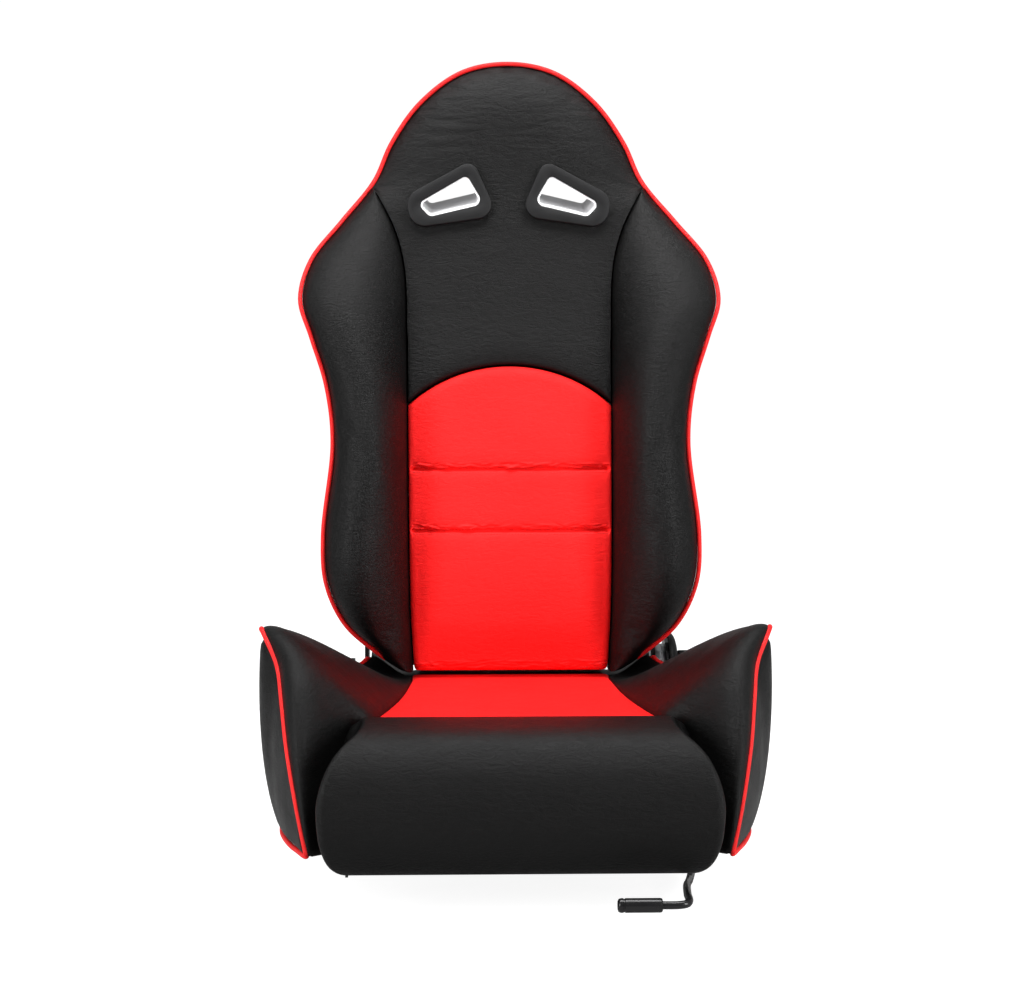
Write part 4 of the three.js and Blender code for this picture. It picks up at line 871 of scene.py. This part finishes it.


# Tail: a padded apron in black leather, sewn to the rear of the bolsters and the red panel. It closes the
# cushion under the backrest's lower edge, and curls up at both sides. Just behind the red panel it shows as a
# thin black strip: partly the real apron, partly a dark sheet that paints the shadow under the backrest's
# edge.
under_backrest = table([(0, 202.2), (108, 202.2), (116, 199), (134, 200.5), (148, 208), (163, 220),
                        (168.5, 224.5)])
end_of_bolster = table([(0, 190), (112, 190), (120, 193), (143, 199), (160, 208), (168.5, 213)])
x, y = np.meshgrid(np.linspace(-168.5, 168.5, 132), np.linspace(390, 458, 36))
# Painted shadow: this rise is set to show as a thin black strip behind the red panel, where there is only the
# shade of the backrest's edge.
rise = step(y, 397, 414 + 10 * step(np.abs(x), 110, 140))
z = end_of_bolster(np.abs(x)) * (1 - rise) + under_backrest(np.abs(x)) * rise - 3 * quarter(458 - y, 6)
points, faces, ring = slab(stacked(x, y, z), stacked(x, y, z * 0 + 150))
tail = piece("cushion_tail_pad_and_shadow_strip", points, faces, black_leather, "seat_base")


# Frame tubes and springs: painted steel tubes welded between the side members and the backrest's arms, and
# zigzag springs of bright wire hooked between them.
SIDE_X, ARM_X, TUBE_R = 186, 172, 11
PIVOT = (0, 455, 190)
FRONT_TUBE, REAR_TUBE = (92, 58), (440, 56)
SPRING_WIRE_R = 1.9


def painted(name, colour, rough):
    """Black powder coat: slight orange peel."""
    mat = material(name, colour, rough, specular=0.35)
    where = place(mat)
    relief(mat, (vary(mat, where, 420.0, 0.0, 1.0, 2.0), 0.00012, 0.1))
    tint(mat, colour, vary(mat, where, 20.0, 0.85, 1.2))
    return mat


painted_steel = painted("painted_steel", (0.006, 0.006, 0.0065), 0.24)


def bar(name, path, radius, mat, body, nodes, sides=20):
    points, faces = tube(path, radius, sides)
    return piece(name, points, faces, mat, body, nodes, sharp=50)


for name, (y, z) in (("front_cross_tube", FRONT_TUBE), ("rear_cross_tube", REAR_TUBE)):
    bar(name + "_bar", [(-SIDE_X + 0.6, y, z), (0, y, z), (SIDE_X - 0.6, y, z)], TUBE_R, painted_steel,
        "seat_base", (name,), 32)
wire_z = FRONT_TUBE[1] + TUBE_R + SPRING_WIRE_R + 1


def plated(name, colour, rough):
    """Zinc-plated steel with faint drawing marks and duller patches."""
    mat = material(name, colour, rough, 1.0)
    where = place(mat)
    drawn = node(mat, "ShaderNodeMapping", {"Vector": where, "Scale": (1.0, 0.04, 1.0)})
    relief(mat, (vary(mat, drawn.outputs["Vector"], 900.0, 0.0, 1.0), 0.0001, 0.35))
    mat.node_tree.links.new(vary(mat, where, 45.0, rough - 0.08, rough + 0.14),
                            mat.node_tree.nodes["Principled BSDF"].inputs["Roughness"])
    tint(mat, colour, vary(mat, where, 25.0, 0.85, 1.08))
    return mat


rail_steel = plated("rail_steel", (0.47, 0.48, 0.5), 0.34)
for row, x in enumerate((-90, 0, 90)):
    wire = [(x, FRONT_TUBE[0], wire_z)]
    for k in range(7):
        side, y = (-22 if k % 2 else 22), FRONT_TUBE[0] + (REAR_TUBE[0] - FRONT_TUBE[0]) * (k + 1) / 8
        wire += [(x + side, y - 12, wire_z), (x + side, y + 12, wire_z)]
    wire.append((x, REAR_TUBE[0], wire_z))
    bar(f"seat_spring_wire_{row + 1}", smooth_line(wire, 160), SPRING_WIRE_R, rail_steel, "seat_base",
        (f"seat_spring_{row + 1}",), 10)
hoop_back = 15 + TUBE_R
hoop_x = ARM_X - TUBE_R - 1.5
beside_slot = 113 + SLEEVE_WALL + TUBE_R + 5


def behind(x, z):
    return (x, float(back_plane(z)) + hoop_back, z)


half_hoop = [behind(hoop_x, 300), behind(hoop_x, 420), behind(hoop_x - 6, 560), behind(hoop_x - 6, 680),
             behind(beside_slot, 762), behind(beside_slot - 24, 830), behind(beside_slot - 62, 878)]
hoop = half_hoop + [behind(0, 893)] + [(-x, y, z) for x, y, z in half_hoop[::-1]]
bar("backrest_hoop_bar", smooth_line(hoop, 150), TUBE_R - 2, painted_steel, "backrest",
    ("backrest_hoop",))
bar("backrest_lower_bar", [behind(-ARM_X + 0.6, 272), behind(0, 272), behind(ARM_X - 0.6, 272)], TUBE_R,
    painted_steel, "backrest", ("backrest_lower_tube",), 28)
inside = hoop_x - 6 - TUBE_R + 1.4
bar("backrest_upper_bar", [behind(-inside, 640), behind(0, 640), behind(inside, 640)], TUBE_R - 3,
    painted_steel, "backrest", ("backrest_upper_tube",), 24)
for i, z in ((1, 400), (2, 510)):
    wire = [behind(-inside + 2 + (2 * inside - 4) * k / 8,
                   z + (0 if k in (0, 8) else (20 if k % 2 else -20))) for k in range(9)]
    bar(f"back_spring_wire_{i}", smooth_line(wire, 120), SPRING_WIRE_R, rail_steel, "backrest",
        (f"back_spring_{i}",), 10)


# Slide handle: a round rod of painted steel, cranked out along the right rail, with a smooth plastic grip
# pushed on its end, across the front. A small coil spring on the rod keeps the latch down.
HANDLE_X, HANDLE_Z, ROD_R, GRIP_R, GRIP_LENGTH = 198, 14, 4.3, 7.7, 49
bend_x, bend_z, grip_y, grip_end = HANDLE_X - 22, HANDLE_Z + 17, -30, 100
rod = [(HANDLE_X, 465, HANDLE_Z), (HANDLE_X, 242, HANDLE_Z), (HANDLE_X, 182, HANDLE_Z), (191, 128, 17.5),
       (183.5, 78, 24.5), (178, 14, bend_z), (176.5, grip_y + 12, bend_z + 1),
       (bend_x - 3, grip_y + 3, bend_z + 0.5), (bend_x - 12, grip_y, bend_z), (bend_x - 30, grip_y, bend_z),
       (grip_end + GRIP_LENGTH - 1, grip_y, bend_z)]
bar("slide_handle_bar", smooth_line(rod, 150), ROD_R, painted_steel, "slide_handle",
    ("slide_handle_rod",))
grip = [(0.01, 0), (GRIP_R - 3, 0.2), (GRIP_R - 1.2, 1.0), (GRIP_R - 0.3, 2.4), (GRIP_R, 4)]
grip += [(GRIP_R, 6), (GRIP_R - 0.6, 6.6), (GRIP_R - 0.6, 7.8), (GRIP_R, 8.4)]
grip += [(GRIP_R, GRIP_LENGTH - 4), (GRIP_R - 0.5, GRIP_LENGTH - 2.2), (GRIP_R - 1.8, GRIP_LENGTH - 1.5),
         (0.01, GRIP_LENGTH - 1.5)]


def turned(profile, centre, sides=56):
    """Points and faces of a turned piece: profile of (radius, distance along +X) round a centre."""
    turn = np.linspace(0, 2 * math.pi, sides, endpoint=False)
    loops = [[(centre[0] + d, centre[1] + r * math.cos(a), centre[2] + r * math.sin(a)) for a in turn]
             for r, d in profile]
    return loft(loops)


points, faces = turned(grip, (grip_end, grip_y, bend_z))
grip_plastic = moulded("grip_plastic", (0.004, 0.004, 0.0043), 0.24, 0.06, 0.4)
piece("slide_handle_grip_cap", points, faces, grip_plastic, "slide_handle",
      ("slide_handle_grip",), sharp=40)
coil = [(HANDLE_X + 5.6 * math.cos(a), 304 + a / (2 * math.pi) * 3.4, HANDLE_Z + 5.6 * math.sin(a))
        for a in np.linspace(0, 8 * math.pi, 120)]
bar("handle_spring_wire", coil, 0.8, rail_steel, "seat_base", ("handle_return_spring",), 10)


# Recliner: a domed cover in black plastic, clipped over the gears on the right, and a ribbed knob pressed
# on a plated shaft that goes through them.
black_plastic = moulded("black_plastic", (0.005, 0.005, 0.0053), 0.42, 0.2, 0.14)
BASE_OUTER, COVER_R, COVER_DEPTH, KNOB_R, KNOB_DEPTH, SHAFT_R = 194.5, 53, 11, 32, 24, 6
cover_in = BASE_OUTER + 0.5
dome = [(1, 0), (1, 0.22), (0.985, 0.4), (0.93, 0.6), (0.86, 0.74), (0.78, 0.84), (0.64, 0.93), (0.5, 0.97),
        (0.49, 0.9), (0.46, 0.9), (0.45, 0.97), (0.14, 1), (0.14, 0.8)]
outside = [(COVER_R * r, COVER_DEPTH * d) for r, d in dome]
inside_wall = [((COVER_R - 2) * r, (COVER_DEPTH - 2) * d) for r, d in dome[:8]][::-1]
turn = np.linspace(0, 2 * math.pi, 144, endpoint=False)
rings = [np.column_stack([np.full(144, cover_in + d), PIVOT[1] + r * np.cos(turn),
                          PIVOT[2] + r * np.sin(turn)])
         for r, d in outside + inside_wall]
points, faces = ring_loft(rings)
piece("recliner_cover_dome", points, faces, black_plastic, "seat_base",
      ("recliner_cover",), sharp=40)
knob_in = cover_in + COVER_DEPTH + 0.4
ribs = 1 - 0.075 * (0.5 + 0.5 * np.cos(turn * 18)) ** 2
rings = []
for r, d, ribbed in ((0.3, 0.0, 0), (0.9, 0.0, 0), (0.97, 0.03, 1), (1, 0.08, 1), (1, 0.5, 1),
                     (0.97, 0.58, 1), (0.9, 0.62, 0), (0.84, 0.66, 0), (0.8, 0.86, 0), (0.72, 0.97, 0),
                     (0.6, 1.0, 0), (0.5, 0.97, 0), (0.2, 0.95, 0)):
    radius = KNOB_R * r * (ribs if ribbed else 0.97)
    rings.append(np.column_stack([np.full(144, knob_in + KNOB_DEPTH * d), PIVOT[1] + radius * np.cos(turn),
                                  PIVOT[2] + radius * np.sin(turn)]))
points, faces = loft(rings)
piece("recliner_knob_wheel", points, faces, black_plastic, "recliner_knob_and_shaft",
      ("recliner_knob",), sharp=50)
points, faces = turned([(0.01, 0), (SHAFT_R - 0.5, 0), (SHAFT_R, 0.5), (SHAFT_R, 45.5), (SHAFT_R - 0.5, 46),
                        (0.01, 46)],
                       (ARM_X - 6, PIVOT[1], PIVOT[2]))
piece("recliner_shaft_bar", points, faces, rail_steel, "recliner_knob_and_shaft",
      ("recliner_shaft",), sharp=40)


# Rail wheels: turned steel discs, each on a short axle in an upper rail, one near each end of both rails.
# They roll in the lower rail.
for place_name, y in (("front", 440 - 120), ("rear", 440 + 120)):
    for side_name, side in (("right", 1), ("left", -1)):
        points, faces = turned([(0.01, -10), (2.6, -10), (3, -9.6), (3, -4.6), (9.4, -4.6), (10, -4.0),
                                (10, 4.0), (9.4, 4.6), (3, 4.6), (3, 9.6), (2.6, 10), (0.01, 10)],
                                (168 * side, y, 12.7), 48)
        cad = f"rail_wheel_{place_name}_{side_name}"
        piece(cad + "_disc", points, faces, rail_steel, cad + "_body", (cad,), sharp=40)


# Rails, side members, arms, plates, bolts and the latch: pressed and cut steel with slightly broken edges,
# plated or painted. Their shapes are the frame's own, and they get their finish here.
finishes = {"rail_steel": rail_steel, "painted_steel": painted_steel, "black_plastic": black_plastic,
         "grey_plastic": grey_plastic, "pale_plastic": pale_plastic, "black_cloth": back_cloth,
         "black_leather": black_leather, "red_leather": red_leather, "red_piping": piping_leather}
slots = {part["node"]: part["material_slot"] for part in frame["record"]["subparts"]}
for name, obj in frame["nodes"].items():
    obj.data.materials.clear()
    obj.data.materials.append(finishes[slots[name]])
    if not obj.hide_render:
        edge = obj.modifiers.new("edge", "BEVEL")
        edge.width, edge.segments, edge.limit_method, edge.angle_limit = 0.0005, 2, "ANGLE", math.radians(40)


# Stitches: rows of twisted thread on the finished covers, two rows across the red panel and one along
# each side of the rear cover. A row is a line laid on the cover, and one stitch is repeated along it.
trees = {obj.name: BVHTree.FromObject(obj, bpy.context.evaluated_depsgraph_get())
         for obj in (red_panel, rear_cover)}
front, rear = (0, 1, 0), (0, -1, 0)
channel_rows = []


def surface(objects, origin, direction):
    best = None
    for obj in objects:
        hit = trees[obj.name].ray_cast(Vector(origin), Vector(direction))
        if hit[0] and (best is None or hit[3] < best[3]):
            best = hit
    return best


def laid(objects, line, direction, lift=0.0002):
    """A line of (x, y, z) in millimetres, dropped onto the covers along a direction."""
    placed = []
    for point in metres(line):
        hit = surface(objects, point - np.array(direction) * 0.3, direction)
        if hit:
            placed.append(hit[0] + hit[1] * lift)
    return placed


for line in CHANNELS:
    x = np.linspace(-arc_half + 8, arc_half - 8, 160)
    channel_rows.append(laid([red_panel], np.column_stack([x, 0 * x + 300, 0 * x + line - 4.0]), front))
thread_red = material("red_thread", (0.55, 0.008, 0.01), 0.65)
relief(thread_red, (vary(thread_red, place(thread_red), 2600.0, 0.0, 1.0), 0.0002, 0.6))


def stitch_rows(name, rows_of_points, thread, body, pitch=0.0042, length=0.0014, radius=0.00042):
    curve = bpy.data.curves.new(name, "CURVE")
    curve.dimensions = "3D"
    for row in rows_of_points:
        strand = curve.splines.new("POLY")
        strand.points.add(len(row) - 1)
        for spot, point in zip(strand.points, row):
            spot.co = (*point, 1)
    obj = bpy.data.objects.new(name + "_line", curve)
    scene.collection.objects.link(obj)
    group = bpy.data.node_groups.new(name, "GeometryNodeTree")
    group.interface.new_socket("Geometry", in_out="INPUT", socket_type="NodeSocketGeometry")
    group.interface.new_socket("Geometry", in_out="OUTPUT", socket_type="NodeSocketGeometry")
    sizes = [(group.interface.new_socket(label, in_out="INPUT", socket_type="NodeSocketFloat"), value)
             for label, value in (("Pitch", pitch), ("Length", length), ("Radius", radius))]
    add, link = group.nodes.new, group.links.new
    given, result = add("NodeGroupInput"), add("NodeGroupOutput")
    spread = add("GeometryNodeResampleCurve")
    spread.mode = "LENGTH"
    link(given.outputs["Geometry"], spread.inputs["Curve"])
    link(given.outputs["Pitch"], spread.inputs["Length"])
    tangent, turn_to = add("GeometryNodeInputTangent"), add("FunctionNodeAlignRotationToVector")
    turn_to.axis = "X"
    link(tangent.outputs["Tangent"], turn_to.inputs["Vector"])
    stitch, stretch = add("GeometryNodeMeshUVSphere"), add("GeometryNodeTransform")
    stitch.inputs["Segments"].default_value, stitch.inputs["Rings"].default_value = 8, 5
    stitch.inputs["Radius"].default_value = 1.0
    scale = add("ShaderNodeCombineXYZ")
    for axis, label in (("X", "Length"), ("Y", "Radius"), ("Z", "Radius")):
        link(given.outputs[label], scale.inputs[axis])
    link(scale.outputs["Vector"], stretch.inputs["Scale"])
    link(stitch.outputs["Mesh"], stretch.inputs["Geometry"])
    repeat = add("GeometryNodeInstanceOnPoints")
    link(spread.outputs["Curve"], repeat.inputs["Points"])
    link(stretch.outputs["Geometry"], repeat.inputs["Instance"])
    link(turn_to.outputs["Rotation"], repeat.inputs["Rotation"])
    real, dressed = add("GeometryNodeRealizeInstances"), add("GeometryNodeSetMaterial")
    dressed.inputs["Material"].default_value = thread
    link(repeat.outputs["Instances"], real.inputs["Geometry"])
    link(real.outputs["Geometry"], dressed.inputs["Geometry"])
    link(dressed.outputs["Geometry"], result.inputs["Geometry"])
    repeater = obj.modifiers.new("stitches", "NODES")
    repeater.node_group = group
    for socket, value in sizes:
        repeater[socket.identifier] = value
    mesh = bpy.data.meshes.new_from_object(obj.evaluated_get(bpy.context.evaluated_depsgraph_get()))
    obj.modifiers.clear()
    bpy.data.objects.remove(obj)
    mesh.shade_smooth()
    done = bpy.data.objects.new(name, mesh)
    scene.collection.objects.link(done)
    settle(done, body)
    return done


stitch_rows("channel_stitches", channel_rows, thread_red, "backrest", 0.0036, 0.0012,
            0.00036)
rear_rows = []
for side in (1, -1):
    edge = inset(52, 300)
    edge = edge[edge[:, 1] > 250]
    rear_rows.append(laid([rear_cover], np.column_stack([side * edge[:, 0], 0 * edge[:, 0] + 700,
                                                         edge[:, 1]]), rear))
thread_black = material("black_thread", (0.012, 0.012, 0.013), 0.7)
relief(thread_black, (vary(thread_black, place(thread_black), 2600.0, 0.0, 1.0), 0.0002, 0.6))
stitch_rows("rear_stitches", rear_rows, thread_black, "backrest")


# Floor, light and camera: a plain white floor and backdrop, with soft lamps above and on both sides.
floor_mesh = bpy.data.meshes.new("floor")
floor_mesh.from_pydata([(-9, -6, 0), (9, -6, 0), (9, 9, 0), (-9, 9, 0)], [], [(0, 1, 2, 3)])
floor = bpy.data.objects.new("floor", floor_mesh)
scene.collection.objects.link(floor)
white = bpy.data.materials.new("floor_white")
white.use_nodes = True
white.node_tree.nodes.clear()
matt = node(white, "ShaderNodeBsdfDiffuse", {"Color": (0.4, 0.4, 0.4, 1)})
lit = node(white, "ShaderNodeEmission", {"Color": (1, 1, 1, 1), "Strength": 0.9})
both = node(white, "ShaderNodeAddShader", {0: matt.outputs["BSDF"], 1: lit.outputs["Emission"]})
seen = node(white, "ShaderNodeLightPath").outputs["Is Camera Ray"]
pick = node(white, "ShaderNodeMixShader", {0: seen, 1: matt.outputs["BSDF"], 2: both.outputs["Shader"]})
node(white, "ShaderNodeOutputMaterial", {"Surface": pick.outputs["Shader"]})
floor_mesh.materials.append(white)
world = scene.world or bpy.data.worlds.new("studio")
scene.world = world
world.use_nodes = True
background = world.node_tree.nodes["Background"]
background.inputs["Color"].default_value = (1, 1, 1, 1)
brightness = node(world, "ShaderNodeMapRange", {"Value": node(world,
                                                              "ShaderNodeLightPath").outputs["Is Camera Ray"],
                                                "To Min": 0.34, "To Max": 1.02})
world.node_tree.links.new(brightness.outputs["Result"], background.inputs["Strength"])


def softbox(name, where, target, size, power):
    light = bpy.data.lights.new(name, "AREA")
    light.shape, light.size, light.size_y, light.energy = "RECTANGLE", size[0], size[1], power
    obj = bpy.data.objects.new(name, light)
    obj.location = where
    obj.rotation_euler = (Vector(target) - Vector(where)).to_track_quat("-Z", "Y").to_euler()
    scene.collection.objects.link(obj)


softbox("top_box", (0.0, -0.25, 2.6), (0, 0, 0.4), (2.4, 0.9), 80)
softbox("left_box", (-2.3, -1.7, 1.0), (0, 0, 0.45), (0.7, 1.8), 60)
softbox("right_box", (2.3, -1.7, 1.0), (0, 0, 0.45), (0.7, 1.8), 60)
camera_data = bpy.data.cameras.new("camera")
camera_data.lens, camera_data.sensor_width = 90.09, 36
camera = bpy.data.objects.new("camera", camera_data)
camera.location = (-0.083, -2.932, 0.730)
camera.rotation_euler = (math.radians(84), 0, -math.atan(68.2 / 2550))
scene.collection.objects.link(camera)
scene.camera = camera
scene.view_settings.view_transform = "Standard"
